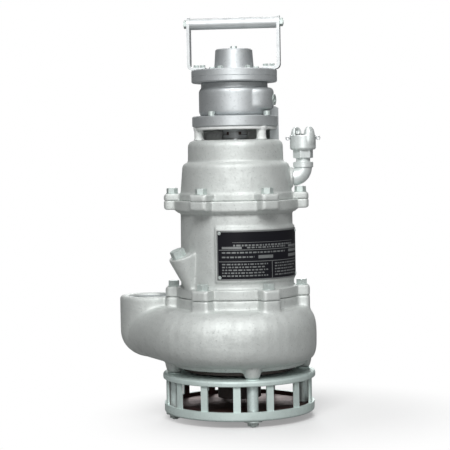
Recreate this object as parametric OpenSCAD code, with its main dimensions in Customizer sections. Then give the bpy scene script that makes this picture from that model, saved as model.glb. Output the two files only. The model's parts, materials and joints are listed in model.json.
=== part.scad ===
// Air-operated submersible centrifugal pump. From the floor up it is a strainer on four studs, a volute
// casing with an upturned discharge, an oil housing, an upper housing, an open lantern, a vane air motor
// and a lifting handle, all on one vertical shaft.
// The origin is on the shaft axis, in the plane of the stud ends that the pump stands on. +Z is up, the
// nameplate faces -Y, the air inlet is on +X and the discharge is on -X. Bearings round the shaft are
// angles from the front (-Y), positive towards +X.

/* [Feet and studs] */
// Radius of the four long studs
stud_r = 6.35; // [5:0.05:7]
// Radius of the plain point at a stud's lower end
stud_point_r = 5.2; // [4:0.1:6]
// Length of the plain point that stands out below the foot nut
stud_point_h = 2.5; // [2:0.1:6]
// Height of a foot nut
foot_nut_h = 7.5; // [5:0.1:12]
// Width across the flats of a foot nut
foot_nut_af = 19; // [17:0.5:24]
// Radius of a foot washer
washer_r = 17; // [13:0.5:18]
// Thickness of a foot washer
washer_t = 2.7; // [1.5:0.1:4]
// Bearing of the first stud
stud_bearing = 11; // [0:1:30]

/* [Strainer] */
// Outer radius of the pan
pan_r = 143; // [141:0.5:150]
// Height of the pan from its underside to its rim
pan_h = 16.9; // [12:0.1:25]
// Thickness of the pan's floor
pan_floor_t = 10; // [5:0.5:11]
// Width of the pan's rim
rim_w = 7.5; // [6:0.5:9]
// Number of bars round the strainer
bar_count = 14; // [10:1:18]
// Bearing of the bar nearest to the front
bar_bearing = -2; // [-10:1:10]
// Width of a bar
bar_w = 13.5; // [8:0.5:18]
// Height of the windows between the bars
window_h = 47; // [30:1:70]
// Outer radius of the strainer's top plate
plate_r = 145; // [143:0.5:150]
// Thickness of the top plate
plate_t = 10.4; // [6:0.1:14]
// Outer radius of the spacer tubes inside the strainer
tube_r = 10.5; // [9:0.5:11]
// Thickness of the washers between the top plate and the casing's lugs
spacer_h = 2; // [1:0.5:6]

/* [Suction] */
// Radius of the suction eye
eye_r = 35.5; // [30:0.5:37]
// Outer radius of the suction nozzle
nozzle_r = 41; // [39:0.5:45]
// How far the nozzle hangs below the cover's flange
nozzle_drop = 54; // [30:1:62]
// Thickness of the cover's flange
cover_flange_t = 8; // [7.5:0.5:10]
// Radius of the cover's spigot in the casing
spigot_r = 92; // [90:0.5:94]

/* [Casing] */
// How far the stud lugs reach below the casing's bottom ring
lug_drop = 11; // [6:0.5:14]
// Radius of a stud lug at its foot
stud_lug_r = 13.5; // [12.5:0.5:15]
// How much a stud lug widens up to the ring
stud_lug_flare = 4; // [2:0.5:5]
// Width of the casing's bottom ring, outside the suction cover's flange
ring_w = 21; // [18:0.5:22]
// Height of the bottom ring below the scroll
ring_h = 9; // [6:0.5:14]
// Half the height of the scroll
scroll_half_h = 51.5; // [46:0.5:60]
// Wall thickness of the casing
casing_wall = 7.5; // [6:0.25:9]
// Distance from the pumping chamber to the scroll's outer wall at the tongue
tongue_gap = 16.4; // [14:0.2:20]
// Growth of the scroll's radius for each degree round the axis
scroll_growth = 0.197; // [0.17:0.001:0.21]
// Distance from the pumping chamber to the casing's outside behind the tongue
core_w = 24; // [20:0.5:26]
// Radius of the pumping chamber
chamber_r = 100; // [96:0.5:104]
// Outer radius of the discharge boot
boot_r = 60; // [57:0.5:63]
// Radius of the threaded discharge bore
port_r = 43.5; // [38:0.5:46]
// Distance from the bolt lugs' ends to the plane of the discharge axis
port_reach = 31.5; // [30:0.5:36]
// How far the discharge axis lies behind the shaft
port_y = 52; // [50:0.5:56]
// Height of the discharge rim above the casing's deck
rim_h = 18; // [12:0.5:30]
// Height of the neck above the deck
neck_h = 19; // [14:0.5:26]

/* [Flange bolts] */
// Number of bolts in each flange
flange_bolt_count = 6; // [6:1:6]
// Bearing of the first flange bolt
flange_bolt_bearing = 28; // [20:1:34]
// Distance from the barrel's upper end to the flange bolt circle
bolt_reach = 15.6; // [14.4:0.2:18]
// Radius of a flange bolt's shank
bolt_r = 6.35; // [5:0.05:7]
// Width across the flats of a flange bolt's head
bolt_af = 19; // [16:0.5:22]
// Height of a flange bolt's head
bolt_head_h = 9.5; // [6:0.5:12]
// Width of a bolt lug
lug_w = 38; // [30:0.5:42]
// Metal of a bolt lug outside the bolt circle
lug_end = 15.4; // [12:0.2:18]
// Corner radius of a bolt lug
lug_corner_r = 8; // [4:0.5:12]

/* [Oil housing] */
// Width of the lower flange between its lugs, outside the barrel
oil_flange_w = 9; // [6:0.5:12]
// Thickness of the lower flange
oil_flange_t = 19; // [14:0.5:24]
// Radius of the barrel at its upper end
barrel_r = 106; // [104:0.5:108]
// How much the barrel widens towards its lower end
barrel_taper = 1.5; // [0:0.1:3]
// Height of the oil housing
oil_h = 182; // [176:1:200]
// Wall thickness of the oil housing
oil_wall = 8; // [6:0.5:9]
// Width of the upper flange between its lugs, outside the barrel
oil_top_flange_w = 11; // [6:0.5:12]
// Thickness of the upper flange
oil_top_flange_t = 17; // [14:0.5:22]
// Thickness of the webs that carry the bearings
web_t = 10; // [8:0.5:14]
// Radius of the bearing hubs
hub_r = 50; // [47:0.5:56]
// Bearing of the oil filler boss
filler_bearing = -60; // [-64:1:-56]
// Distance from the barrel to the middle of the filler's mouth
filler_reach = 11.2; // [9:0.2:13]
// Height of the filler's mouth above the casing joint
filler_z = 82; // [76:0.5:90]
// Radius of the filler's mouth
filler_mouth_r = 27.3; // [25:0.1:29]
// Radius of the boss where it meets the lower flange
filler_foot_r = 13; // [10:0.5:16]
// Bearing of the boss where it meets the lower flange
filler_foot_bearing = -54.5; // [-60:0.5:-50]
// Tilt of the filler's mouth from level
filler_tilt = 22; // [15:1:30]
// How far the plug stands outwards from the middle of the mouth
filler_offset = 8; // [4:0.5:10]
// Radius of the oil plug's thread
oil_plug_r = 10.5; // [8:0.5:12]
// Width across the flats of the oil plug
oil_plug_af = 24; // [19:0.5:26]
// Height of the oil plug's head
oil_plug_h = 14; // [8:0.5:16]

/* [Nameplate] */
// Height of the nameplate above the casing joint
nameplate_z = 37.5; // [30:0.5:44]
// Height of the nameplate
nameplate_h = 91; // [70:1:96]
// Bearing of the nameplate's left edge
nameplate_a0 = -19.5; // [-24:0.5:-10]
// Bearing of the nameplate's right edge
nameplate_a1 = 80; // [60:0.5:86]
// Thickness of the nameplate
nameplate_t = 1.2; // [0.8:0.1:2]
// How far the cast pad under the plate stands out of the barrel's upper end
pad_proud = 4.5; // [3:0.5:6]
// Margin of the pad round the plate
pad_margin = 3.5; // [2:0.5:5]

/* [Upper housing] */
// Width of the housing's flange between its lugs, outside the lower drum
upper_flange_w = 2.5; // [2:0.25:6]
// Thickness of the housing's flange
upper_flange_t = 13; // [10:0.5:18]
// How much smaller the lower drum's foot is than the barrel
drum_setback = 0.5; // [0:0.1:2]
// How much the lower drum narrows up to its shoulder
drum_taper = 4; // [2:0.1:5]
// Height of the lower drum above the joint
lower_drum_h = 73; // [68:0.5:80]
// Width of the shoulder between the two drums
shoulder_w = 11; // [8:0.5:13]
// Height of the upper drum above the lower one
upper_drum_h = 40; // [34:0.5:50]
// Wall thickness of the upper housing
upper_wall = 8.5; // [6:0.5:10]
// Radius of the edge round the top
upper_edge_r = 12; // [6:0.5:13]

/* [Lantern and drive] */
// Height of the open lantern
lantern_h = 25; // [23:0.5:40]
// Distance from the motor flange's edge to the circle of lantern posts
post_inset = 11; // [10.5:0.5:14]
// Radius of a lantern post
post_r = 9; // [7:0.5:9.5]
// Bearing of the first lantern post
post_bearing = 44; // [40:1:48]
// Thickness of the lantern's rear wall
lantern_wall = 7; // [5:0.5:9]
// Outer radius of the drive coupling
hub_coupling_r = 24; // [20:0.5:28]
// Radius of the pump shaft at its bearings
shaft_r = 20; // [18:0.5:21]
// Radius of the pump shaft in the impeller
shaft_nose_r = 14; // [12:0.5:15]
// Outer radius of the impeller
impeller_r = 88; // [80:0.5:89]
// Width of the impeller's vanes
vane_h = 56; // [40:1:58]
// Number of impeller vanes
vane_count = 4; // [3:1:5]
// Thickness of an impeller vane
vane_t = 6; // [4:0.5:8]

/* [Air motor] */
// Radius of the motor's flanges
motor_flange_r = 81; // [79.5:0.5:84]
// Thickness of the lower motor flange
motor_flange_t = 20; // [18:0.5:26]
// Radius of the motor body
motor_r = 67.5; // [66:0.5:70]
// Height of the motor body
motor_h = 54; // [44:1:70]
// Radius of the bulge round the exhaust port
bulge_r = 38.5; // [36:0.5:39.5]
// Distance from the shaft to the bulge's axis
bulge_reach = 41; // [37:0.5:41]
// Bearing of the bulge
bulge_bearing = 60; // [56:1:64]
// How much smaller the neck above the body is
motor_neck_step = 4.5; // [3:0.5:6]
// Height of the neck
motor_neck_h = 9; // [5:0.5:14]
// Radius of the cylinder bore
bore_r = 52; // [50:0.5:54]
// Offset of the cylinder bore from the rotor's axis
bore_offset = 4; // [2:0.25:4.5]
// Radius of the rotor
rotor_r = 47.5; // [44:0.5:47.5]
// Number of rotor vanes
rotor_vane_count = 4; // [3:1:6]
// Thickness of a rotor vane
rotor_vane_t = 5; // [3:0.5:6]
// Thickness of the air riser, outwards from the motor body
riser_t = 17.4; // [15:0.2:20]
// Width of the air riser
riser_w = 24; // [18:0.5:28]
// Thickness of the motor's end plate
end_plate_t = 11; // [8:0.5:14]
// Thickness of the top cover
top_cover_t = 13; // [13:0.5:18]
// Radius at the foot of the bearing cap
cap_r0 = 37.6; // [34:0.2:39]
// Radius at the top of the bearing cap
cap_r1 = 35; // [32:0.5:37]
// Height of the bearing cap
cap_h = 39; // [30:1:46]
// Width across the flats of the cap's plug
cap_plug_af = 11; // [9:0.5:14]

/* [Handle] */
// Outer width of the handle
handle_w = 176; // [172:1:186]
// Height of the grip's axis above the top cover
grip_z = 88; // [80:1:110]
// Radius of the grip tube
grip_r = 10.75; // [9:0.25:12]
// Width of a strap
strap_w = 25; // [22:0.5:30]
// Thickness of a strap
strap_t = 5.5; // [4:0.5:6.5]
// Outer radius of the bend at a strap's foot
strap_bend_r = 10; // [8:0.5:13]
// Angle that the handle is turned about the axis
handle_turn = -6.5; // [-10:0.5:10]
// Radius of the tie rod
tie_rod_r = 4.7; // [4:0.1:5.5]

/* [Air inlet] */
// Height of the elbow's level leg above the upper housing's joint
inlet_z = 41; // [40.5:0.5:44]
// Distance from the lower drum's shoulder to the elbow's upright leg
inlet_reach = 26.5; // [25:0.5:34]
// Bend radius of the elbow
elbow_bend_r = 18.5; // [18:0.5:20]
// Outer radius of the elbow
elbow_r = 16.5; // [15.5:0.5:17]
// Radius of the elbow's band
band_r = 19; // [18:0.5:21]
// Radius of the pipe thread
pipe_r = 13.3; // [12:0.1:14]
// Radius of the air way
air_r = 9.5; // [7:0.5:10]
// Width across the flats of the coupling's hexagon
claw_hex_af = 34; // [30:0.5:36]
// Radius of the coupling's head
claw_head_r = 24.5; // [23:0.5:26]

/* [Clearances] */
// Radial clearance of a running shaft
run_gap = 0.05; // [0.02:0.01:0.1]
// Clearance between parts that turn past each other
turn_gap = 0.4; // [0.3:0.05:1]
// Clearance of a bolt or stud in its hole
bolt_gap = 0.4; // [0.2:0.05:0.8]
// Clearance of a part that slides into a seat
seat_gap = 0.1; // [0.05:0.05:0.3]

/* [Hidden] */

$fn = 96;
eps = 0.01;

// Heights of the stack, from the stud ends up
z_washer = stud_point_h + foot_nut_h;
z_pan = z_washer + washer_t;
z_floor = z_pan + pan_floor_t;
z_rim = z_pan + pan_h;
z_plate = z_rim + window_h;
z_plate_top = z_plate + plate_t;
z_lug = z_plate_top + spacer_h;
z_ring = z_lug + lug_drop;
z_scroll = z_ring + ring_h;
z_lug_top = z_scroll + ring_h;
z_mid = z_scroll + scroll_half_h;
z_deck = z_mid + scroll_half_h;
z_joint = z_deck + neck_h;
z_upper = z_joint + oil_h;
z_step = z_upper + lower_drum_h;
z_lantern = z_step + upper_drum_h;
z_motor = z_lantern + lantern_h;
z_body = z_motor + motor_flange_t;
z_neck = z_body + motor_h;
z_end_plate = z_neck + motor_neck_h;
z_cover = z_end_plate + end_plate_t;
z_cap = z_cover + top_cover_t;
z_grip = z_cap + grip_z;

// Radii that follow the barrel
bolt_circle_r = barrel_r + bolt_reach;
lug_reach = bolt_circle_r + lug_end;
oil_flange_r = barrel_r + oil_flange_w;
oil_top_flange_r = barrel_r + oil_top_flange_w;
neck_r = oil_flange_r;
lower_drum_r0 = barrel_r - drum_setback;
lower_drum_r1 = lower_drum_r0 - drum_taper;
upper_drum_r = lower_drum_r1 - shoulder_w;
upper_flange_r = lower_drum_r0 + upper_flange_w;
inlet_x = lower_drum_r1 + inlet_reach;
filler_r = barrel_r + filler_reach;
tongue_r = chamber_r + tongue_gap;
core_r = chamber_r + core_w;

// Strainer
stud_bearings = [for (i = [0:3]) stud_bearing + 90 * i];
stud_hole_r = stud_r + bolt_gap;
tube_gap = 0.5;
stud_circle_r = pan_r - rim_w - tube_gap - tube_r;
stud_grip = 12;
stud_top = z_ring + stud_grip;
bar_out_r = pan_r - 3;
bar_in_r = pan_r - rim_w;
pan_edge = 4;
plate_edge = 4;
nozzle_gap = 2;

// Suction cover
cover_screw_count = 6;
cover_screw_r = 3;
cover_screw_head_r = 5;
cover_screw_head_h = 5.5;
cover_screw_grip = 9;
cover_screw_bearing = stud_bearing + 15;
lug_gap = 1;
cover_flange_r = stud_circle_r - stud_lug_r - stud_lug_flare - lug_gap;
ring_r = cover_flange_r + ring_w;
cover_screw_circle_r = (cover_flange_r + spigot_r) / 2;
z_cover_flange = z_ring - cover_flange_t;
z_spigot = z_scroll + casing_wall + 1.5;
spigot_top_r = 12;

// Scroll: the wrap angle runs from the tongue against the bearing angle, round the back, right and front
tongue_bearing = 250;
scroll_in_r = 78;
port_x = -(lug_reach + port_reach);
port_dist = norm([port_x, port_y]);
port_bearing = atan2(port_x, -port_y);
z_port = z_deck + rim_h;
wrap_end = wrap_at_leg(port_end_guess());
leg_bearing = tongue_bearing - wrap_end;
leg_dir = [-cos(leg_bearing), -sin(leg_bearing), 0];
leg_out = [sin(leg_bearing), -cos(leg_bearing), 0];
throat_r = (scroll_out(wrap_end) + scroll_in_r) / 2;
throat_half_w = (scroll_out(wrap_end) - scroll_in_r) / 2;
leg_len = sqrt(pow(port_dist, 2) - pow(throat_r, 2));
z_chamber = z_scroll + casing_wall;
deck_edge = 14;
z_lug_root = z_mid + 20;
outside_steps = [37, 6, 32];
inside_steps = [26, 4, 24];
top_power = 2.6;
bottom_power = 4.1;
round_from = 170;
wrap_start = 9;

// Flange bolts
flange_bearings = [for (i = [0:flange_bolt_count - 1]) flange_bolt_bearing + 360 / flange_bolt_count * i];
bolt_grip = 17;
lug_edge = 3;
bolt_washer_t = 1.5;
bolt_washer_r = bolt_af * 0.62;

// Shaft, seal and bearings
bearing_w = 18;
bearing_od_r = 40;
pump_pitch_r = 30;
pump_ball_r = 6;
pump_ball_count = 9;
race_gap = 0.08;
z_low_bearing = z_joint + web_t;
z_high_bearing = z_upper - 2 - bearing_w;
motor_bearing_r = 21;
motor_bearing_w = 12;
motor_shaft_r = 10;
motor_neck_r = motor_r - motor_neck_step;
motor_pitch_r = 15.5;
motor_ball_r = 3.2;
motor_ball_count = 9;
z_motor_low_bearing = z_body - 2 - motor_bearing_w;
z_motor_high_bearing = z_cover + 0.5;
snap_w = 1.8;
snap_depth = 2;
slot_depth = 19;
body_edge = 9;
motor_screw_bearing = -36;
motor_screw_r = 4;
motor_screw_head_r = 6.4;
motor_screw_head_h = 8;
exhaust_bearing = 72;
exhaust_face_r = bulge_reach + bulge_r - 4;
z_exhaust = z_body + 29;
exhaust_face_w = 13;
exhaust_r = 8.5;
exhaust_grip = 10;
exhaust_af = 20;
exhaust_head_h = 4;
shoulder_r = shaft_r + 2.5;
seal_shaft_r = shaft_r - 2.5;
z_impeller = z_spigot + 1.5;
z_shroud = z_impeller + vane_h;
key_w = 5;
z_key = z_impeller + 8;
key_len = vane_h - 10;
nose_bolt_r = 5;
nose_bolt_len = 26;
lip_seal_w = 8.5;
shroud_t = 6;
vane_in_r = 24;
vane_sweep = 62;
z_seal_plate = z_shroud + shroud_t + 6;
seal_plate_t = 8;
plate_lip = 6;
seal_pocket_r = 30;
seal_pocket_z = z_seal_plate + 6;
seat_h = 10;
seat_bore_r = seal_shaft_r + 2;
z_seal_head = seal_pocket_z + seat_h + 0.3;
seal_head_h = 24;
hub_bore_r = 31;
hub_h = 21;
lip_seal_h = 10;
z_lip_seal = z_lantern - lip_seal_h - 2;
z_hub = z_lantern + 2.5;
hub_disc_h = 7;
jaw_h = 5;
z_hub_upper = z_hub + hub_disc_h + jaw_h + 1;
z_hub_top = z_hub_upper + hub_disc_h;
jaw_turn = 46;
hub_shaft_r = 12;

// Oil housing
z_flange_top = z_joint + oil_flange_t;
z_top_flange = z_upper - oil_top_flange_t;
barrel_in_r = barrel_r - oil_wall;
flange_cone = 6;
boss_root = 26;
boss_lip = 3;
plug_bore_depth = 46;
plug_grip = 12;
plug_collar_h = 2;
pad_r = barrel_r + pad_proud;
z_nameplate = z_joint + nameplate_z;
plate_screw_r = 1.5;
plate_screw_grip = 7;
plate_screw_inset = 5;

// Air way
riser_bearing = 112;
post_circle_r = motor_flange_r - post_inset;
post_bearings = [for (i = [0:2]) post_bearing + 120 * i];
post_foot = 1.5;
lantern_ring_t = 6;
wall_bearing_0 = riser_bearing + 15;
wall_bearing_1 = post_bearings[2] - 4;
riser_in_r = motor_r + seat_gap;
riser_out_r = riser_in_r + riser_t;
riser_top = 18;
riser_slope = 25;
riser_air_r = 6;
riser_air_at = (riser_in_r + riser_out_r) / 2;
riser_port_r = 3.5;
z_riser_port = z_body + 12.5;
z_inlet = z_upper + inlet_z;
elbow_centre = [inlet_x - elbow_bend_r, z_inlet + elbow_bend_r];
inlet_boss_r = elbow_r + 2.8;
band_h = 11;
z_band = elbow_centre[1] - 1;
nipple_h = 7;
z_claw_hex = z_band + band_h + nipple_h;
claw_hex_h = 16;
z_claw_head = z_claw_hex + claw_hex_h;
claw_head_h = 28;
z_claw_face = z_claw_head + claw_head_h;
claw_r = 12;
claw_rise = 20;
claw_bearing = 40;
gasket_step = 0.6;
gasket_w = 5;
gasket_seat = 4;
clip_r = 1.2;
clip_drop = 6;

// Top cover and cap
cap_bolt_gap = 6.9;
cover_bolt_inset = 15;
small_bolt_r = 3;
small_bolt_af = 10;
small_bolt_h = 5;
cover_bolt_count = 8;
cap_wall = 8;
cap_plug_r = 4;
cap_plug_h = 6;

// Handle
strap_x = handle_w / 2;
foot_len = 34;
foot_bolt_x = [strap_x - foot_len + 6, strap_x - foot_len / 2 + 1];
foot_bolt_r = small_bolt_r;
foot_bolt_grip = 7;
handle_nut_af = 14;
handle_nut_h = 6;
rod_end = 7;

// A point at a bearing from the front
function polar(r, a) = [r * sin(a), -r * cos(a)];

// Points of an arc, for rounding a revolved outline
function arc(x, y, r, a0, a1, n = 5) = [for (i = [0:n]) let (a = a0 + (a1 - a0) * i / n)
    [x + r * cos(a), y + r * sin(a)]];

// A power that keeps the sign of its base
function spow(v, p) = sign(v) * pow(abs(v), p);

// Outer radius of the scroll at a wrap angle
function scroll_out(w) = tongue_r + scroll_growth * w;

// The scroll's centre line leaves at the wrap angle where its tangent meets the discharge axis
function wrap_for(r) = tongue_bearing - (port_bearing + acos(r / port_dist));
function port_end_guess() = wrap_for((scroll_out(300) + scroll_in_r) / 2);
function wrap_at_leg(w) = wrap_for((scroll_out(w) + scroll_in_r) / 2);

// How far along the scroll a section is, from 0 where it is square to 1 where it is round
function roundness(w) = min(1, max(0, (w - round_from) / (wrap_end - round_from)));

// One closed section of the scroll: superellipse halves, squarer below than above
function section(c, out, a, b, nt, nb, k) = [for (i = [0:k - 1]) let (f = 360 * i / k,
    e = sin(f) >= 0 ? 2 / nt : 2 / nb)
    [c[0] + out[0] * a * spow(cos(f), e), c[1] + out[1] * a * spow(cos(f), e), z_mid + b * spow(sin(f), e)]];

function scroll_section(w, wall, k) = let (t = tongue_bearing - w, q = roundness(w),
    r = (scroll_out(w) + scroll_in_r) / 2)
    section(polar(r, t), [sin(t), -cos(t)], scroll_out(w) - r - wall, scroll_half_h - wall,
        top_power + (2 - top_power) * q, bottom_power + (2 - bottom_power) * q, k);

function leg_section(u, wall, k) = section(
    [throat_r * leg_out[0] + u * leg_dir[0], throat_r * leg_out[1] + u * leg_dir[1]], leg_out,
    throat_half_w + (boot_r - 2 - throat_half_w) * u / leg_len - wall,
    scroll_half_h - u / leg_len - wall, 2, 2, k);

// Skin through equal sections, closed at both ends
module loft(rings) {
    k = len(rings[0]);
    n = len(rings);
    polyhedron(points = [for (r = rings) each r],
        faces = concat(
            [[for (i = [0:k - 1]) i]],
            [[for (i = [0:k - 1]) n * k - 1 - i]],
            [for (j = [0:n - 2]) for (i = [0:k - 1]) let (a = j * k + i, b = j * k + (i + 1) % k)
                each [[a, b + k, b], [a, a + k, b + k]]]));
}

// The scroll round the chamber, and the straight leg that carries its last section to the discharge. The
// steps are sections of the scroll, sections of the leg and points of a section.
module scroll(wall, start, steps) {
    loft(concat(
        [for (i = [0:steps[0]]) scroll_section(start + (wrap_end - start) * i / steps[0], wall, steps[2])],
        [for (i = [1:steps[1]]) leg_section(leg_len * i / steps[1], wall, steps[2])]));
}

module at(bearing, r = 0, z = 0) rotate([0, 0, bearing]) translate([0, -r, z]) children();

module revolve(points) rotate_extrude() polygon(points);

// A disc or tube standing on z
module ring(r_out, r_in, z, h) {
    translate([0, 0, z]) difference() {
        cylinder(r = r_out, h = h);
        if (r_in > 0) translate([0, 0, -1]) cylinder(r = r_in, h = h + 2);
    }
}

module hex(af, h) cylinder(r = af / sqrt(3), h = h, $fn = 6);

// Outline of a round flange with squared bolt lugs
module lug_outline(flange_r) {
    circle(r = flange_r);
    for (a = flange_bearings) rotate([0, 0, a]) {
        translate([-lug_w / 2, lug_corner_r - lug_reach]) square([lug_w, lug_reach - flange_r / 2]);
        translate([lug_corner_r - lug_w / 2, -lug_reach]) square([lug_w - 2 * lug_corner_r, lug_reach / 2]);
        for (s = [-1, 1]) translate([s * (lug_w / 2 - lug_corner_r), lug_corner_r - lug_reach])
            circle(r = lug_corner_r);
    }
}

// A flange with lugs whose outer edges are eased by top_edge above and bottom_edge below
module lugged_flange(flange_r, z, h, top_edge, bottom_edge) {
    intersection() {
        translate([0, 0, z]) linear_extrude(h) lug_outline(flange_r);
        revolve([[0, z - 1], [lug_reach - bottom_edge, z - 1], [lug_reach - bottom_edge, z],
            [lug_reach + 1, z + bottom_edge + 1], [lug_reach + 1, z + h - top_edge - 1],
            [lug_reach - top_edge, z + h], [lug_reach - top_edge, z + h + 1], [0, z + h + 1]]);
    }
}

module flange_bolt_holes(z, h, r) for (a = flange_bearings) at(a, bolt_circle_r, z) cylinder(r = r, h = h);

// A hexagon bolt that points down from z, with a washer under its head
module hex_bolt(r, af, head_h, shank, wash_r, wash_t) {
    translate([0, 0, wash_t]) difference() {
        hex(af, head_h);
        translate([0, 0, head_h - 1.2]) difference() {
            cylinder(r = af, h = 3);
            translate([0, 0, -1]) cylinder(r1 = af * 0.62, r2 = af * 0.34, h = 5);
        }
    }
    if (wash_t > 0) cylinder(r = wash_r, h = wash_t);
    translate([0, 0, -shank]) cylinder(r = r, h = shank + eps);
}

// Bearing parts, standing on z = 0
module outer_race(od_r, pitch, ball, w) rotate_extrude() difference() {
    translate([pitch + ball * 0.55, 0]) square([od_r - pitch - ball * 0.55, w]);
    translate([pitch, w / 2]) circle(r = ball + race_gap);
}

module inner_race(bore, pitch, ball, w) rotate_extrude() difference() {
    translate([bore, 0]) square([pitch - ball * 0.55 - bore, w]);
    translate([pitch, w / 2]) circle(r = ball + race_gap);
}

module balls(pitch, ball, count, w) for (i = [0:count - 1]) rotate([0, 0, 360 / count * i])
    translate([pitch, 0, w / 2]) sphere(r = ball, $fn = 32);

// A cage ring with a pocket for each ball, or a plain ring to hold balls that it is one piece with
module cage(pitch, ball, count, w) difference() {
    translate([0, 0, w / 2 - ball * 0.7]) difference() {
        cylinder(r = pitch + ball * 0.3, h = ball * 1.4);
        translate([0, 0, -1]) cylinder(r = pitch - ball * 0.3, h = ball * 1.4 + 2);
    }
    if (count > 0) for (i = [0:count - 1]) rotate([0, 0, 360 / count * i])
        translate([pitch, 0, w / 2]) sphere(r = ball + race_gap, $fn = 32);
}

module strainer_pan() color("#b9c9c4") difference() {
    revolve(concat([[0, z_pan]], arc(pan_r - pan_edge, z_pan + pan_edge, pan_edge, -90, 0, 4),
        [[pan_r, z_rim], [pan_r - rim_w, z_rim], [pan_r - rim_w, z_floor], [0, z_floor]]));
    for (a = stud_bearings) at(a, stud_circle_r, z_pan - 1) cylinder(r = stud_hole_r, h = pan_floor_t + 2);
}

module strainer_bars() color("#b9c9c4") for (i = [0:bar_count - 1])
    rotate([0, 0, bar_bearing + 360 / bar_count * i - 90 - atan(bar_w / 2 / bar_out_r)])
        translate([0, 0, z_rim])
            rotate_extrude(angle = 2 * atan(bar_w / 2 / bar_out_r))
                translate([bar_in_r, 0]) square([bar_out_r - bar_in_r, window_h]);

module strainer_top_plate() color("#b9c9c4") difference() {
    revolve(concat([[nozzle_r + nozzle_gap, z_plate]], arc(plate_r - 2, z_plate + 2, 2, -90, 0, 3),
        arc(plate_r - plate_edge, z_plate_top - plate_edge, plate_edge, 0, 90, 4),
        [[nozzle_r + nozzle_gap, z_plate_top]]));
    for (a = stud_bearings) at(a, stud_circle_r, z_plate - 1) cylinder(r = stud_hole_r, h = plate_t + 2);
}

module spacer_tubes() color("#b4c4c0") for (a = stud_bearings) at(a, stud_circle_r)
    ring(tube_r, stud_hole_r, z_floor, z_plate - z_floor);

module strainer_studs() color("#a9aeb0") for (a = stud_bearings) at(a, stud_circle_r) {
    cylinder(r = stud_point_r, h = stud_point_h + 1);
    translate([0, 0, stud_point_h]) cylinder(r = stud_r, h = stud_top - stud_point_h);
}

module foot_nuts() color("#b7bcbd") for (a = stud_bearings) at(a, stud_circle_r, stud_point_h)
    rotate([0, 0, a]) difference() {
        hex(foot_nut_af, foot_nut_h);
        translate([0, 0, -1]) cylinder(r = stud_r + seat_gap, h = foot_nut_h + 2);
    }

module foot_washers() color("#b7bcbd") for (a = stud_bearings) at(a, stud_circle_r)
    ring(washer_r, stud_hole_r, z_washer, washer_t);

module lug_spacers() color("#a9b2b0") for (a = stud_bearings) at(a, stud_circle_r)
    ring(stud_lug_r - lug_gap, stud_hole_r, z_plate_top, spacer_h);

module suction_cover() color("#8f9896") difference() {
    revolve(concat([[eye_r + 2, z_cover_flange - nozzle_drop], [nozzle_r, z_cover_flange - nozzle_drop],
        [nozzle_r, z_cover_flange - 6], [nozzle_r + 5, z_cover_flange], [cover_flange_r, z_cover_flange],
        [cover_flange_r, z_ring], [spigot_r - seat_gap, z_ring], [spigot_r - seat_gap, z_spigot - 2],
        [spigot_r - 2, z_spigot]],
        arc(eye_r + spigot_top_r, z_spigot - spigot_top_r, spigot_top_r, 90, 180, 6),
        [[eye_r, z_cover_flange - nozzle_drop + 2]]));
    cover_screw_places(z_cover_flange - 1) {
        cylinder(r = cover_screw_r + bolt_gap, h = cover_flange_t + 2);
        cylinder(r = cover_screw_head_r + bolt_gap, h = cover_screw_head_h + 1);
    }
}

module cover_screw_places(z) for (i = [0:cover_screw_count - 1])
    at(cover_screw_bearing + 360 / cover_screw_count * i, cover_screw_circle_r, z) children();

module cover_screws() color("#8d9294") cover_screw_places(z_cover_flange) {
    difference() {
        cylinder(r = cover_screw_head_r, h = cover_screw_head_h);
        translate([0, 0, -1]) hex(5, 3.5);
    }
    translate([0, 0, cover_screw_head_h - eps])
        cylinder(r = cover_screw_r, h = cover_flange_t - cover_screw_head_h + cover_screw_grip);
}

// Outside of the casting, without its bores
module casing_outside() {
    scroll(0, wrap_start, outside_steps);
    revolve(concat([[0, z_ring], [ring_r - 1.5, z_ring], [ring_r, z_ring + 1.5], [ring_r, z_scroll + 2],
        [core_r, z_scroll + 5], [core_r, z_deck - deck_edge]],
        arc(core_r - deck_edge, z_deck - deck_edge, deck_edge, 15, 90, 4), [[0, z_deck]]));
    ring(neck_r, 0, z_deck - 5, neck_h + 5);
    intersection() {
        translate([0, 0, z_lug_root]) linear_extrude(z_joint - z_lug_root) lug_outline(neck_r - 10);
        ring(lug_reach, 0, z_mid, z_joint - z_mid);
    }
    for (a = stud_bearings) at(a, stud_circle_r) revolve([[0, z_lug], [stud_lug_r, z_lug],
        [stud_lug_r + stud_lug_flare, z_ring + 4], [stud_lug_r + stud_lug_flare, z_lug_top - 3],
        [stud_lug_r + stud_lug_flare - 3, z_lug_top], [0, z_lug_top]]);
    translate([port_x, port_y]) revolve(concat([[0, z_scroll]],
        [for (i = [1:7]) [boot_r * sin(90 * i / 7), z_mid - scroll_half_h * cos(90 * i / 7)]],
        [[boot_r, z_port - 2], [boot_r - 2, z_port], [0, z_port]]));
}

// Water way inside the casting
module casing_inside() {
    scroll(casing_wall, 0, inside_steps);
    revolve([[0, z_ring - 1], [spigot_r, z_ring - 1], [spigot_r, z_chamber], [chamber_r, z_chamber],
        [chamber_r, z_joint - plate_lip], [chamber_r + plate_lip, z_joint - plate_lip],
        [chamber_r + plate_lip, z_joint + 1], [0, z_joint + 1]]);
    translate([port_x, port_y]) revolve(concat([[0, z_scroll + casing_wall]],
        [for (i = [1:6]) [(boot_r - casing_wall) * sin(15 * i),
            z_mid - (scroll_half_h - casing_wall) * cos(15 * i)]],
        [[boot_r - casing_wall, z_deck - 18], [port_r, z_deck - 9], [port_r, z_port - 2],
            [port_r + 2, z_port], [port_r + 2, z_port + 1], [0, z_port + 1]]));
}

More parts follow.
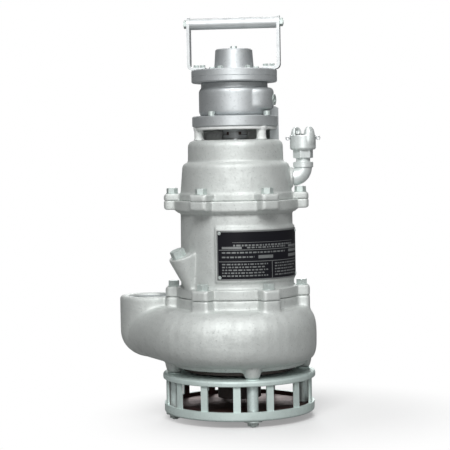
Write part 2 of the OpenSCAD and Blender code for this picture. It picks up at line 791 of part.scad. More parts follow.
module volute_casing() color("#aeb6b5") difference() {
    casing_outside();
    casing_inside();
    flange_bolt_holes(z_joint - bolt_grip - 1, bolt_grip + 2, bolt_r + seat_gap);
    for (a = stud_bearings) at(a, stud_circle_r, z_lug - 1) cylinder(r = stud_r + seat_gap,
        h = stud_top - z_lug + 2);
    cover_screw_places(z_ring - 1) cylinder(r = cover_screw_r + seat_gap, h = cover_screw_grip + 2);
}

module casing_bolts() color("#c9cdcb") for (a = flange_bearings)
    at(a, bolt_circle_r, z_flange_top) rotate([0, 0, a * 2]) hex_bolt(bolt_r, bolt_af, bolt_head_h,
        oil_flange_t + bolt_grip, bolt_washer_r, bolt_washer_t);

module seal_plate() color("#8f9896") revolve([[seal_pocket_r - 6, z_seal_plate],
    [chamber_r - seat_gap, z_seal_plate], [chamber_r - seat_gap, z_joint - plate_lip],
    [chamber_r + plate_lip - seat_gap, z_joint - plate_lip], [chamber_r + plate_lip - seat_gap, z_joint],
    [chamber_r - seal_plate_t, z_joint], [chamber_r - seal_plate_t, z_seal_plate + seal_plate_t + 4],
    [chamber_r - seal_plate_t - 4, z_seal_plate + seal_plate_t],
    [seal_pocket_r + 2 * seal_plate_t, z_seal_plate + seal_plate_t],
    [seal_pocket_r + seal_plate_t, seal_pocket_z + seat_h + 6], [seal_pocket_r, seal_pocket_z + seat_h + 6],
    [seal_pocket_r, seal_pocket_z], [seal_pocket_r - 6, seal_pocket_z]]);

module seal_seat() color("#3b3f42") ring(seal_pocket_r, seat_bore_r, seal_pocket_z, seat_h);

module seal_head() color("#77797a") revolve([[seal_shaft_r, z_seal_head], [seal_pocket_r - 4, z_seal_head],
    [seal_pocket_r - 4, z_seal_head + 5], [seal_pocket_r - 2, z_seal_head + 7],
    [seal_pocket_r - 2, z_seal_head + seal_head_h - 4], [seal_pocket_r - 4, z_seal_head + seal_head_h],
    [seal_shaft_r, z_seal_head + seal_head_h]]);

// One impeller vane, swept back along a spiral of steady angle
function vane_mid(r) = vane_sweep * ln(r / vane_in_r);
function vane_side(s) = [for (i = [0:9]) let (r = vane_in_r - 6 + (impeller_r - vane_in_r + 4) * i / 9)
    polar(r, vane_mid(r) + s * asin(vane_t / 2 / r))];
function reversed(v) = [for (i = [1:len(v)]) v[len(v) - i]];

module impeller() color("#9aa09e") difference() {
    union() {
        revolve(concat([[0, z_impeller + 4], [19, z_impeller + 4]],
            [for (i = [0:6]) let (a = 90 * i / 6) [20 + 26 * (1 - cos(a)), z_shroud - 30 + 30 * sin(a)]],
            [[impeller_r, z_shroud], [impeller_r, z_shroud + shroud_t], [30, z_shroud + shroud_t],
                [0, z_shroud + shroud_t]]));
        for (i = [0:vane_count - 1]) rotate([0, 0, 360 / vane_count * i])
            translate([0, 0, z_impeller]) linear_extrude(vane_h + 1)
                polygon(concat(vane_side(-1), reversed(vane_side(1))));
        for (i = [0:5]) at(60 * i, impeller_r / 2 + 16, z_shroud + shroud_t - 1)
            translate([-2, -impeller_r / 2 + 20, 0]) cube([4, impeller_r - 44, 3.5]);
    }
    translate([0, 0, z_impeller - 1]) cylinder(r = shaft_nose_r, h = vane_h + shroud_t + 4);
    translate([-key_w / 2, 0, z_impeller - 1])
        cube([key_w, shaft_nose_r + key_w / 2, vane_h + shroud_t + 4]);
}

module impeller_key() color("#8b8f91") translate([-key_w / 2, shaft_nose_r - key_w / 2, z_key])
    cube([key_w, key_w, key_len]);

module impeller_bolt() color("#9ea2a4") translate([0, 0, z_impeller + 4]) {
    translate([0, 0, -4]) cylinder(r = shaft_nose_r + 2, h = 4);
    translate([0, 0, -11]) hex(19, 7 + eps);
    cylinder(r = nose_bolt_r, h = nose_bolt_len);
}

module pump_shaft() color("#9fa5a8") difference() {
    revolve([[0, z_impeller + 4], [shaft_nose_r, z_impeller + 4], [shaft_nose_r, z_shroud + shroud_t],
        [seal_shaft_r, z_shroud + shroud_t], [seal_shaft_r, z_low_bearing - 3], [shaft_r, z_low_bearing - 1],
        [shaft_r, z_low_bearing + bearing_w], [shoulder_r, z_low_bearing + bearing_w],
        [shoulder_r, z_high_bearing], [shaft_r, z_high_bearing], [shaft_r, z_high_bearing + bearing_w + 3],
        [seal_shaft_r, z_high_bearing + bearing_w + 6], [seal_shaft_r, z_lantern - 1],
        [seal_shaft_r, z_hub], [hub_shaft_r, z_hub], [hub_shaft_r, z_hub + hub_disc_h + 1],
        [hub_shaft_r - 1, z_hub + hub_disc_h + 2], [0, z_hub + hub_disc_h + 2]]);
    translate([0, 0, z_impeller + 3]) cylinder(r = nose_bolt_r, h = nose_bolt_len + 3);
    translate([-key_w / 2, shaft_nose_r - key_w / 2, z_key]) cube([key_w, key_w, key_len]);
}

module pump_bearing_outer_races() color("#b5b9bb") for (z = [z_low_bearing, z_high_bearing])
    translate([0, 0, z]) outer_race(bearing_od_r, pump_pitch_r, pump_ball_r, bearing_w);

module pump_bearing_inner_races() color("#b5b9bb") for (z = [z_low_bearing, z_high_bearing])
    translate([0, 0, z]) inner_race(shaft_r, pump_pitch_r, pump_ball_r, bearing_w);

module pump_bearing_balls() color("#c6cacc") for (z = [z_low_bearing, z_high_bearing])
    translate([0, 0, z]) balls(pump_pitch_r, pump_ball_r, pump_ball_count, bearing_w);

module pump_bearing_cages() color("#a98d52") for (z = [z_low_bearing, z_high_bearing])
    translate([0, 0, z]) cage(pump_pitch_r, pump_ball_r, pump_ball_count, bearing_w);

// Snap rings that keep the outer races in their hubs
module bearing_rings() color("#55595c") for (z = [z_low_bearing, z_high_bearing])
    rotate([0, 0, 8]) translate([0, 0, z + bearing_w]) rotate_extrude(angle = 344)
        translate([bearing_od_r - 3, 0]) square([3 + snap_depth, snap_w]);

// The middle of the filler's mouth, with its axis leaning outwards
module filler_mouth() at(filler_bearing, filler_r, z_joint + filler_z) rotate([filler_tilt, 0, 0])
    children();

// A slanting boss that grows out of the lower flange and the barrel, up to the filler's mouth
module filler_boss() hull() {
    filler_mouth() translate([0, 0, -boss_lip]) cylinder(r = filler_mouth_r, h = boss_lip, $fn = 32);
    at(filler_foot_bearing, barrel_r - boss_lip, z_flange_top - 2)
        cylinder(r = filler_foot_r, h = boss_lip, $fn = 32);
    at(filler_bearing, barrel_r - boss_root, z_joint + filler_z - boss_lip)
        cylinder(r = filler_mouth_r - boss_lip, h = boss_lip, $fn = 32);
    at(filler_foot_bearing, barrel_r - boss_root, z_flange_top - 2)
        cylinder(r = filler_foot_r, h = boss_lip, $fn = 32);
}

module oil_housing_outside() {
    lugged_flange(oil_flange_r, z_joint, oil_flange_t, lug_edge, 0);
    lugged_flange(oil_top_flange_r, z_top_flange, oil_top_flange_t, 0, lug_edge);
    revolve([[0, z_joint + 1], [oil_flange_r - 1, z_joint + 1], [oil_flange_r - 1, z_flange_top - 4],
        [oil_flange_r - 5, z_flange_top - 0.5], [barrel_r + barrel_taper + 1.5, z_flange_top - 0.5],
        [barrel_r + barrel_taper, z_flange_top + 3], [barrel_r, z_top_flange - flange_cone - 1],
        [oil_top_flange_r - 6, z_top_flange - flange_cone], [oil_top_flange_r, z_top_flange - 1],
        [oil_top_flange_r, z_upper - 1], [0, z_upper - 1]]);
    filler_boss();
    rotate([0, 0, nameplate_a0 - 90 - 2]) rotate_extrude(angle = nameplate_a1 - nameplate_a0 + 4)
        polygon([[barrel_r - 4, z_nameplate - pad_margin - pad_proud],
            [barrel_r + 1, z_nameplate - pad_margin - pad_proud], [pad_r, z_nameplate - pad_margin],
            [pad_r, z_nameplate + nameplate_h + pad_margin],
            [barrel_r, z_nameplate + nameplate_h + pad_margin + pad_proud],
            [barrel_r - 4, z_nameplate + nameplate_h + pad_margin + pad_proud]]);
}

module oil_housing() color("#aeb6b5") difference() {
    oil_housing_outside();
    revolve([[0, z_joint + web_t + hub_h], [hub_r, z_joint + web_t + hub_h], [hub_r + 4, z_joint + web_t],
        [barrel_in_r - 4, z_joint + web_t], [barrel_in_r, z_joint + web_t + 4],
        [barrel_in_r, z_upper - web_t - 4], [barrel_in_r - 4, z_upper - web_t], [hub_r, z_upper - web_t],
        [hub_r, z_high_bearing - 5], [0, z_high_bearing - 5]]);
    ring(hub_bore_r, 0, z_joint - 1, oil_h + 2);
    ring(bearing_od_r, 0, z_low_bearing, hub_h + 1);
    ring(bearing_od_r + snap_depth, 0, z_low_bearing + bearing_w, snap_w);
    ring(bearing_od_r, 0, z_high_bearing, bearing_w + 3);
    ring(bearing_od_r + snap_depth, 0, z_high_bearing + bearing_w, snap_w + 1);
    flange_bolt_holes(z_joint - 1, oil_flange_t + 2, bolt_r + bolt_gap);
    flange_bolt_holes(z_upper - bolt_grip - 1, bolt_grip + 2, bolt_r + seat_gap);
    filler_mouth() translate([0, -filler_offset, -plug_bore_depth])
        cylinder(r = oil_plug_r, h = plug_bore_depth + boss_lip);
    nameplate_screw_places(pad_r - plate_screw_grip - 1) cylinder(r = plate_screw_r + seat_gap,
        h = plate_screw_grip + 2);
}

module oil_plug() color("#b3c0bd") filler_mouth() translate([0, -filler_offset]) {
    cylinder(r = oil_plug_af * 0.56, h = plug_collar_h);
    translate([0, 0, plug_collar_h - eps]) hex_head(oil_plug_af, oil_plug_h - plug_collar_h);
    translate([0, 0, -plug_grip]) cylinder(r = oil_plug_r, h = plug_grip + eps);
}

// A hexagon with its upper corners turned off
module hex_head(af, h) intersection() {
    hex(af, h);
    revolve([[0, 0], [af, 0], [af, h - 3], [af * 0.52, h - 0.4], [af * 0.48, h], [0, h]]);
}

module nameplate() color("#1d1d20") difference() {
    rotate([0, 0, nameplate_a0 - 90]) rotate_extrude(angle = nameplate_a1 - nameplate_a0)
        translate([pad_r + seat_gap, z_nameplate]) square([nameplate_t, nameplate_h]);
    nameplate_screw_places(pad_r - 1) cylinder(r = plate_screw_r + seat_gap, h = nameplate_t + 3);
}

module nameplate_screw_places(r) {
    turn = atan(plate_screw_inset / pad_r);
    for (a = [nameplate_a0 + turn, nameplate_a1 - turn])
        for (z = [z_nameplate + plate_screw_inset, z_nameplate + nameplate_h - plate_screw_inset])
            at(a, r, z) rotate([90, 0, 0]) children();
}

module nameplate_screws() color("#c9cccc") nameplate_screw_places(pad_r - plate_screw_grip) {
    cylinder(r = plate_screw_r, h = plate_screw_grip + seat_gap + nameplate_t + eps);
    translate([0, 0, plate_screw_grip + seat_gap + nameplate_t]) difference() {
        cylinder(r1 = 3.2, r2 = 2.2, h = 1.6);
        translate([-4, -0.4, 1]) cube([8, 0.8, 2]);
    }
}

module upper_housing_outside() {
    lugged_flange(upper_flange_r, z_upper, upper_flange_t, lug_edge, 0);
    revolve(concat([[0, z_upper], [upper_flange_r, z_upper], [upper_flange_r, z_upper + upper_flange_t - 2],
        [upper_flange_r - 2, z_upper + upper_flange_t], [lower_drum_r0 + 1, z_upper + upper_flange_t],
        [lower_drum_r0, z_upper + upper_flange_t + 2], [lower_drum_r1, z_step - 12]],
        arc(lower_drum_r1 - 10, z_step - 12, 10, 10, 75, 4),
        [[upper_drum_r, z_step], [upper_drum_r - 0.5, z_lantern - upper_edge_r]],
        arc(upper_drum_r - 0.5 - upper_edge_r, z_lantern - upper_edge_r, upper_edge_r, 10, 90, 5),
        [[0, z_lantern]]));
    translate([0, 0, z_inlet]) rotate([0, 90, 0]) cylinder(r = inlet_boss_r, h = elbow_centre[0] - 1);
}

module upper_housing() color("#aeb6b5") difference() {
    upper_housing_outside();
    revolve([[0, z_upper - 1], [barrel_in_r - 4, z_upper - 1], [barrel_in_r - 4, z_upper + 8],
        [lower_drum_r1 - upper_wall, z_upper + 12], [lower_drum_r1 - upper_wall, z_step - 16],
        [upper_drum_r - upper_wall, z_step - 7], [upper_drum_r - upper_wall, z_lantern - upper_wall - 6],
        [upper_drum_r - upper_wall - 6, z_lantern - upper_wall], [38, z_lantern - upper_wall],
        [34, z_lantern - upper_wall - 8], [0, z_lantern - upper_wall - 8]]);
    ring(seal_shaft_r + 3, 0, z_lantern - 30, 31);
    ring(seal_shaft_r + lip_seal_w, 0, z_lip_seal, lip_seal_h + 3);
    flange_bolt_holes(z_upper - 1, upper_flange_t + 2, bolt_r + bolt_gap);
    translate([lower_drum_r1 - 30, 0, z_inlet]) rotate([0, 90, 0]) cylinder(r = pipe_r, h = 60);
    at(riser_bearing, riser_air_at, z_lantern - upper_wall - 6) cylinder(r = riser_air_r, h = 30);
}

module housing_bolts() color("#c9cdcb") for (a = flange_bearings)
    at(a, bolt_circle_r, z_upper + upper_flange_t) rotate([0, 0, a * 3]) hex_bolt(bolt_r, bolt_af,
        bolt_head_h, upper_flange_t + bolt_grip, bolt_washer_r, bolt_washer_t);

module shaft_seal() color("#2b2c2e") revolve([[seal_shaft_r + run_gap, z_lip_seal + 3],
    [seal_shaft_r + 3, z_lip_seal], [seal_shaft_r + lip_seal_w, z_lip_seal],
    [seal_shaft_r + lip_seal_w, z_lip_seal + lip_seal_h], [seal_shaft_r + 1, z_lip_seal + lip_seal_h],
    [seal_shaft_r + 1, z_lip_seal + 7], [seal_shaft_r + run_gap, z_lip_seal + 5]]);

// A quarter bend from level, at the shaft's side, to upright
module bend(r) translate([elbow_centre[0], 0, elbow_centre[1]]) rotate([90, 0, 0]) rotate([0, 0, -90])
    rotate_extrude(angle = 90) translate([elbow_bend_r, 0]) circle(r = r);

module air_elbow() color("#b9bfbd") difference() {
    union() {
        bend(elbow_r);
        translate([lower_drum_r1 - upper_wall, 0, z_inlet]) rotate([0, 90, 0])
            cylinder(r = pipe_r, h = elbow_centre[0] - lower_drum_r1 + upper_wall + 1);
        translate([inlet_x, 0]) revolve([[0, z_band], [band_r - 1.5, z_band], [band_r, z_band + 1.5],
            [band_r, z_band + band_h - 1.5], [band_r - 1.5, z_band + band_h], [0, z_band + band_h]]);
    }
    bend(air_r);
    translate([lower_drum_r1 - 20, 0, z_inlet]) rotate([0, 90, 0])
        cylinder(r = air_r, h = elbow_centre[0] - lower_drum_r1 + 20);
    translate([inlet_x, 0]) ring(pipe_r, 0, z_band + 1, band_h);
}

// One claw: a rounded lug, curved with the head, that rises past the face and has a hook slot on one side
module claw() intersection() {
    difference() {
        union() {
            translate([0, 0, claw_rise - claw_r]) rotate([90, 0, 0]) cylinder(r = claw_r, h = claw_head_r);
            translate([-claw_r, -claw_head_r, -18]) cube([2 * claw_r, claw_head_r, claw_rise - claw_r + 18]);
        }
        translate([0.5, -claw_head_r - 1, -0.5]) cube([2 * claw_r, claw_head_r, 7]);
        translate([0.5, 0, 3]) rotate([90, 0, 0]) cylinder(r = 3.5, h = claw_head_r + 1);
    }
    ring(claw_head_r, claw_head_r - 9, -20, claw_rise + 22);
}

module claw_coupling() color("#bcc2c0") difference() {
    translate([inlet_x, 0]) union() {
        ring(pipe_r, 0, z_band + 1, band_h + nipple_h);
        translate([0, 0, z_claw_hex]) rotate([0, 0, 12]) hex(claw_hex_af, claw_hex_h + 1);
        revolve([[0, z_claw_head], [claw_head_r - 2, z_claw_head], [claw_head_r, z_claw_head + 3],
            [claw_head_r, z_claw_face - 1.5], [claw_head_r - 1.5, z_claw_face], [0, z_claw_face]]);
        for (a = [0, 180]) at(claw_bearing + a, 0, z_claw_face) claw();
    }
    translate([inlet_x, 0]) ring(air_r, 0, z_band, z_claw_face + claw_rise - z_band + 1);
    translate([inlet_x, 0]) ring(air_r + gasket_w, 0, z_claw_face - gasket_seat, gasket_seat + 1);
}

module coupling_gasket() color("#232426") translate([inlet_x, 0]) revolve([
    [air_r + gasket_step, z_claw_face - gasket_seat], [air_r + gasket_w, z_claw_face - gasket_seat],
    [air_r + gasket_w, z_claw_face + 0.5], [air_r + gasket_w - 2, z_claw_face + 1.8],
    [air_r + gasket_step, z_claw_face + 1.2]]);

module safety_clip() color("#6b6f71") translate([inlet_x, 0, z_claw_face - clip_drop]) {
    rotate_extrude(angle = 180) translate([claw_head_r + clip_r, 0]) circle(r = clip_r, $fn = 24);
    for (s = [-1, 1]) translate([s * (claw_head_r + clip_r), 0]) rotate([90, 0, 0])
        cylinder(r = clip_r, h = 4, $fn = 24);
    for (s = [-1, 1]) translate([s * (claw_head_r + clip_r + 3), -4]) rotate([90, 0, 0])
        rotate_extrude() translate([3, 0]) circle(r = clip_r, $fn = 24);
}

// One post with a small foot below and a collar under the flange
module post() revolve([[0, z_lantern], [post_r + post_foot, z_lantern], [post_r + post_foot, z_lantern + 1],
    [post_r, z_lantern + 3], [post_r, z_motor - lantern_ring_t - 2],
    [post_r + post_foot, z_motor - lantern_ring_t + 1], [post_r + post_foot, z_motor], [0, z_motor]]);

// Posts in front and on the right, and a wall behind; the riser passes between them on the right
module lantern() color("#a7afae") difference() {
    union() {
        ring(post_circle_r + post_r - 1, post_circle_r - 14, z_motor - lantern_ring_t, lantern_ring_t);
        for (a = post_bearings) at(a, post_circle_r) post();
        rotate([0, 0, wall_bearing_0 - 90]) rotate_extrude(angle = wall_bearing_1 - wall_bearing_0)
            translate([post_circle_r - lantern_wall / 2, z_lantern]) square([lantern_wall, lantern_h]);
    }
    riser_notch(z_lantern - 1, lantern_h + 2);
}

module jaws(z) for (i = [0:2]) rotate([0, 0, 120 * i]) translate([0, 0, z]) rotate_extrude(angle = jaw_turn)
    translate([hub_shaft_r + 2, 0]) square([hub_coupling_r - hub_shaft_r - 3, jaw_h]);

module drive_hub_lower() color("#7f8688") {
    revolve([[hub_shaft_r, z_hub], [hub_coupling_r - 1, z_hub], [hub_coupling_r, z_hub + 1],
        [hub_coupling_r, z_hub + hub_disc_h], [hub_shaft_r, z_hub + hub_disc_h]]);
    jaws(z_hub + hub_disc_h - eps);
}

module drive_spider() color("#7a3b2a") translate([0, 0, z_hub + hub_disc_h]) {
    for (i = [0:5]) rotate([0, 0, 60 * i - 13]) rotate_extrude(angle = 12)
        translate([hub_shaft_r + 1, 0.1]) square([hub_coupling_r - hub_shaft_r - 1.5, jaw_h + 0.8]);
    ring(hub_shaft_r + 1.7, hub_shaft_r + 0.4, 0.1, jaw_h + 0.8);
}

module drive_hub_upper() color("#7f8688") {
    difference() {
        revolve([[0, z_hub_upper], [hub_coupling_r, z_hub_upper], [hub_coupling_r, z_hub_top - 1],
            [hub_coupling_r - 1, z_hub_top], [0, z_hub_top]]);
        ring(motor_shaft_r, 0, z_hub_upper - 1, hub_disc_h + 2);
    }
    rotate([0, 0, 60]) jaws(z_hub_upper - jaw_h + eps);
}

module motor_flange() color("#adb5b4") difference() {
    revolve([[0, z_motor], [motor_flange_r - 2, z_motor], [motor_flange_r, z_motor + 2],
        [motor_flange_r, z_body - 2], [motor_flange_r - 2, z_body], [0, z_body]]);
    ring(motor_shaft_r + 2, 0, z_motor - 1, motor_flange_t + 2);
    ring(motor_bearing_r, 0, z_motor_low_bearing, motor_bearing_w + 3);
    riser_notch(z_motor - 1, motor_flange_t + 2);
    motor_screw_places(z_motor + 2) cylinder(r = motor_screw_r + bolt_gap, h = motor_flange_t);
}

// Room for the air riser, which stands between the motor body and the flange's edge
module riser_notch(z, h) difference() {
    at(riser_bearing) translate([-riser_w / 2 - seat_gap, -motor_flange_r - 20, z])
        cube([riser_w + 2 * seat_gap, motor_flange_r + 24 - riser_in_r, h]);
    ring(riser_in_r - seat_gap, 0, z - 1, h + 2);
}

module motor_screw_places(z) for (i = [0:3]) at(motor_screw_bearing + 90 * i, motor_r + 6.5, z) children();

module motor_flange_screws() color("#b9bdbe") motor_screw_places(z_body) {
    difference() {
        cylinder(r = motor_screw_head_r, h = motor_screw_head_h);
        translate([0, 0, motor_screw_head_h - 3.5]) hex(6.5, 5);
    }
    translate([0, 0, 3 - motor_flange_t]) cylinder(r = motor_screw_r, h = motor_flange_t - 3 + eps);
}

module air_riser() color("#9fa8a6") difference() {
    at(riser_bearing) difference() {
        translate([-riser_w / 2, -riser_out_r, z_lantern - upper_edge_r])
            cube([riser_w, riser_t + 4, lantern_h + motor_flange_t + riser_top + upper_edge_r]);
        translate([-riser_w, -riser_out_r - 2, z_body + riser_top - 4]) rotate([riser_slope, 0, 0])
            cube([2 * riser_w, 2 * riser_t, riser_top]);
        translate([0, -riser_air_at, z_lantern - 20]) cylinder(r = riser_air_r, h = z_riser_port - z_lantern
            + 20);
        translate([0, -riser_air_at, z_riser_port]) rotate([-90, 0, 0]) cylinder(r = riser_port_r, h = 30);
    }
    ring(riser_in_r, 0, z_lantern - 1, lantern_h + motor_flange_t + riser_top + 5);
    upper_housing_outside();
}

// Side of the body or of its bulge, rounded below and above
module rounded_drum(r, z0, z1) revolve(concat([[0, z0], [r - body_edge, z0]],
    arc(r - body_edge, z0 + body_edge, body_edge, -80, 0, 4), arc(r - body_edge, z1 - body_edge, body_edge,
        0, 80, 4), [[r - body_edge, z1], [0, z1]]));

module exhaust_port() at(exhaust_bearing, exhaust_face_r, z_exhaust) rotate([90, 0, 0]) children();

module motor_body() color("#adb5b4") difference() {
    union() {
        rounded_drum(motor_r, z_body, z_neck);
        ring(motor_neck_r, 0, z_neck - body_edge, motor_neck_h + body_edge);
        at(bulge_bearing, bulge_reach) rounded_drum(bulge_r, z_body + motor_screw_head_h + 2, z_neck - 2);
    }
    translate([0, bore_offset]) ring(bore_r, 0, z_body - 1, motor_h + motor_neck_h + 2);
    exhaust_port() {
        cylinder(r = exhaust_face_w, h = 20);
        translate([0, 0, -40]) cylinder(r = exhaust_r, h = 50);
    }
    at(riser_bearing, bore_r - 8, z_riser_port) rotate([90, 0, 0]) cylinder(r = riser_port_r, h = 40);
}

module motor_port_plug() color("#c3c8c7") exhaust_port() {
    translate([0, 0, -exhaust_grip]) cylinder(r = exhaust_r, h = exhaust_grip + eps);
    difference() {
        hex_head(exhaust_af, exhaust_head_h);
        translate([0, 0, 2]) hex(9, 4);
    }
}

function vane_turns() = [for (i = [0:rotor_vane_count - 1]) 20 + 360 / rotor_vane_count * i];

module motor_rotor() color("#8f9598") difference() {
    union() {
        ring(rotor_r, 0, z_body + turn_gap, motor_h + motor_neck_h - 2 * turn_gap);
        ring(motor_shaft_r, 0, z_hub_upper + 1, z_cap + 2 - z_hub_upper);
    }
    for (a = vane_turns()) rotate([0, 0, a]) translate([rotor_r - slot_depth, -rotor_vane_t / 2 - seat_gap,
        z_body]) cube([slot_depth + 5, rotor_vane_t + 2 * seat_gap, motor_h + motor_neck_h]);
}

module motor_vanes() color("#5b4a36") for (a = vane_turns()) rotate([0, 0, a])
    translate([rotor_r - slot_depth + 0.5, -rotor_vane_t / 2, z_body + turn_gap])
        cube([slot_depth - 1, rotor_vane_t, motor_h + motor_neck_h - 2 * turn_gap]);

module motor_end_plate() color("#adb5b4") revolve([[motor_shaft_r + 1.5, z_end_plate],
    [motor_flange_r - 2, z_end_plate], [motor_flange_r, z_end_plate + 2], [motor_flange_r, z_cover - 0.7],
    [motor_flange_r - 0.7, z_cover], [motor_shaft_r + 1.5, z_cover]]);

module motor_bearing_outer_races() color("#b5b9bb") for (z = [z_motor_low_bearing, z_motor_high_bearing])
    translate([0, 0, z]) outer_race(motor_bearing_r, motor_pitch_r, motor_ball_r, motor_bearing_w);

module motor_bearing_inner_races() color("#b5b9bb") for (z = [z_motor_low_bearing, z_motor_high_bearing])
    translate([0, 0, z]) inner_race(motor_shaft_r, motor_pitch_r, motor_ball_r, motor_bearing_w);

module motor_bearing_balls() color("#c6cacc") for (z = [z_motor_low_bearing, z_motor_high_bearing])
    translate([0, 0, z]) {
        balls(motor_pitch_r, motor_ball_r, motor_ball_count, motor_bearing_w);
        cage(motor_pitch_r, motor_ball_r, 0, motor_bearing_w);
    }

module top_cover() color("#b6bdbc") difference() {
    revolve([[0, z_cover], [motor_flange_r - 0.7, z_cover], [motor_flange_r, z_cover + 0.7],
        [motor_flange_r, z_cap - 2], [motor_flange_r - 2, z_cap], [0, z_cap]]);
    ring(motor_bearing_r, 0, z_cover - 1, top_cover_t + 2);
    cover_bolt_places(z_cover - 1) cylinder(r = small_bolt_r + seat_gap, h = top_cover_t + 2);
    handle_foot_places(z_cap - foot_bolt_grip - 2) cylinder(r = foot_bolt_r + seat_gap,
        h = foot_bolt_grip + 3);
}

// Bolts round the top cover; those beside the handle's feet stand nearer to the cap
module cover_bolt_places(z) for (i = [0:cover_bolt_count - 1]) at(360 / cover_bolt_count * (i + 0.5),
    i % 4 == 1 || i % 4 == 2 ? cap_r0 + cap_bolt_gap : motor_flange_r - cover_bolt_inset, z) children();

module top_cover_bolts() color("#c2c7c6") cover_bolt_places(z_cap)
    hex_bolt(small_bolt_r, small_bolt_af, small_bolt_h, top_cover_t - 2, small_bolt_r, 0);

module bearing_cap() color("#b6bdbc") difference() {
    revolve([[0, z_cap], [cap_r0, z_cap], [cap_r1, z_cap + cap_h - 2], [cap_r1 - 2, z_cap + cap_h],
        [0, z_cap + cap_h]]);
    ring(cap_r1 - cap_wall, 0, z_cap - 1, cap_h - cap_wall);
    ring(cap_plug_r, 0, z_cap + cap_h - cap_wall - 2, cap_wall + 3);
}

module cap_plug() color("#c9cdcb") translate([0, 0, z_cap + cap_h]) {
    hex_head(cap_plug_af, cap_plug_h);
    translate([0, 0, -cap_wall]) cylinder(r = cap_plug_r, h = cap_wall + eps);
}

// Side view of one strap, in X and Z, on the right hand side
module strap_profile() {
    translate([strap_x - foot_len, z_cap]) square([foot_len - strap_bend_r, strap_t]);
    translate([strap_x - strap_bend_r, z_cap + strap_bend_r]) intersection() {
        difference() {
            circle(r = strap_bend_r);
            circle(r = strap_bend_r - strap_t);
        }
        translate([0, -strap_bend_r]) square(strap_bend_r);
    }
    translate([strap_x - strap_t, z_cap + strap_bend_r]) square([strap_t, grip_z - strap_bend_r]);
}

module strap() difference() {
    union() {
        translate([0, strap_w / 2]) rotate([90, 0, 0]) linear_extrude(strap_w) strap_profile();
        translate([strap_x - strap_t, 0, z_grip]) rotate([0, 90, 0]) cylinder(r = strap_w / 2, h = strap_t);
    }
    translate([strap_x - strap_t - 1, 0, z_grip]) rotate([0, 90, 0])
        cylinder(r = tie_rod_r + seat_gap, h = strap_t + 2);
    for (x = foot_bolt_x) translate([x, 0, z_cap - 1]) cylinder(r = foot_bolt_r + bolt_gap, h = strap_t + 2);
}

module handle_foot_places(z) rotate([0, 0, handle_turn]) for (s = [-1, 1]) for (x = foot_bolt_x)
    translate([s * x, 0, z]) rotate([0, 0, 30]) children();

module handle_straps() color("#d3d6d5") rotate([0, 0, handle_turn]) for (a = [0, 180]) rotate([0, 0, a])
    strap();

module handle_grip() color("#cfd2d1") rotate([0, 0, handle_turn]) translate([strap_t - strap_x, 0, z_grip])
    rotate([0, 90, 0]) difference() {
        cylinder(r = grip_r, h = 2 * (strap_x - strap_t));
        translate([0, 0, -1]) cylinder(r = tie_rod_r + seat_gap, h = 2 * strap_x);
    }

module handle_tie_rod() color("#b9bdbe") rotate([0, 0, handle_turn])
    translate([-strap_x - rod_end, 0, z_grip]) rotate([0, 90, 0]) cylinder(r = tie_rod_r,
        h = 2 * (strap_x + rod_end));

module handle_nuts() color("#b9bdbe") rotate([0, 0, handle_turn]) for (a = [0, 180]) rotate([0, 0, a])
    translate([strap_x, 0, z_grip]) rotate([0, 90, 0]) difference() {
        hex(handle_nut_af, handle_nut_h);
        translate([0, 0, -1]) cylinder(r = tie_rod_r + seat_gap, h = handle_nut_h + 2);
    }

module handle_foot_bolts() color("#b9bdbe") handle_foot_places(z_cap + strap_t)
    hex_bolt(foot_bolt_r, small_bolt_af, small_bolt_h, strap_t + foot_bolt_grip, small_bolt_r, 0);

strainer_pan();
strainer_bars();
strainer_top_plate();
spacer_tubes();
strainer_studs();
foot_nuts();
foot_washers();
lug_spacers();
suction_cover();
cover_screws();
volute_casing();
casing_bolts();
seal_plate();
seal_seat();
seal_head();
impeller();
impeller_key();
impeller_bolt();
pump_shaft();
pump_bearing_outer_races();
pump_bearing_inner_races();
pump_bearing_balls();
pump_bearing_cages();
bearing_rings();
oil_housing();
oil_plug();
nameplate();
nameplate_screws();
upper_housing();
housing_bolts();
shaft_seal();
air_elbow();
claw_coupling();
coupling_gasket();
safety_clip();
lantern();
drive_hub_lower();
drive_spider();
drive_hub_upper();
motor_flange();
motor_flange_screws();
air_riser();
motor_body();
motor_port_plug();
motor_rotor();
motor_vanes();
motor_end_plate();
motor_bearing_outer_races();
motor_bearing_inner_races();
motor_bearing_balls();
top_cover();
top_cover_bolts();
bearing_cap();
cap_plug();
handle_straps();
handle_grip();
handle_tie_rod();
handle_nuts();
handle_foot_bolts();
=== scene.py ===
import json
import math

import bmesh
import bpy
from mathutils import Matrix, Vector


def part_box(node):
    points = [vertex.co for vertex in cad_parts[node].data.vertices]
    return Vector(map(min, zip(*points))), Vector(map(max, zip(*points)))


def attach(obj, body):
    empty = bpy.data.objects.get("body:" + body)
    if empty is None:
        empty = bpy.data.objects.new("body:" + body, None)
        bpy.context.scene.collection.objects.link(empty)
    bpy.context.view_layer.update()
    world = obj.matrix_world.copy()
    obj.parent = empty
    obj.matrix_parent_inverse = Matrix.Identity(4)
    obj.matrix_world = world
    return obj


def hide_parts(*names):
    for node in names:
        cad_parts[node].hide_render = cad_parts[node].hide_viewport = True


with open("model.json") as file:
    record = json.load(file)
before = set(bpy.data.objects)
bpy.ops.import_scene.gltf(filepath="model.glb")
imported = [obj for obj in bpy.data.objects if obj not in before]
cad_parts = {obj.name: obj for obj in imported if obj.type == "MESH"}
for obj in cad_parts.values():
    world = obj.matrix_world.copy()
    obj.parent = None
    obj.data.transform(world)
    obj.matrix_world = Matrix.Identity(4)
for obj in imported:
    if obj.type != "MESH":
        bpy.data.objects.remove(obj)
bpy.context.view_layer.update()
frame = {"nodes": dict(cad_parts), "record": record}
nodes = frame["nodes"]

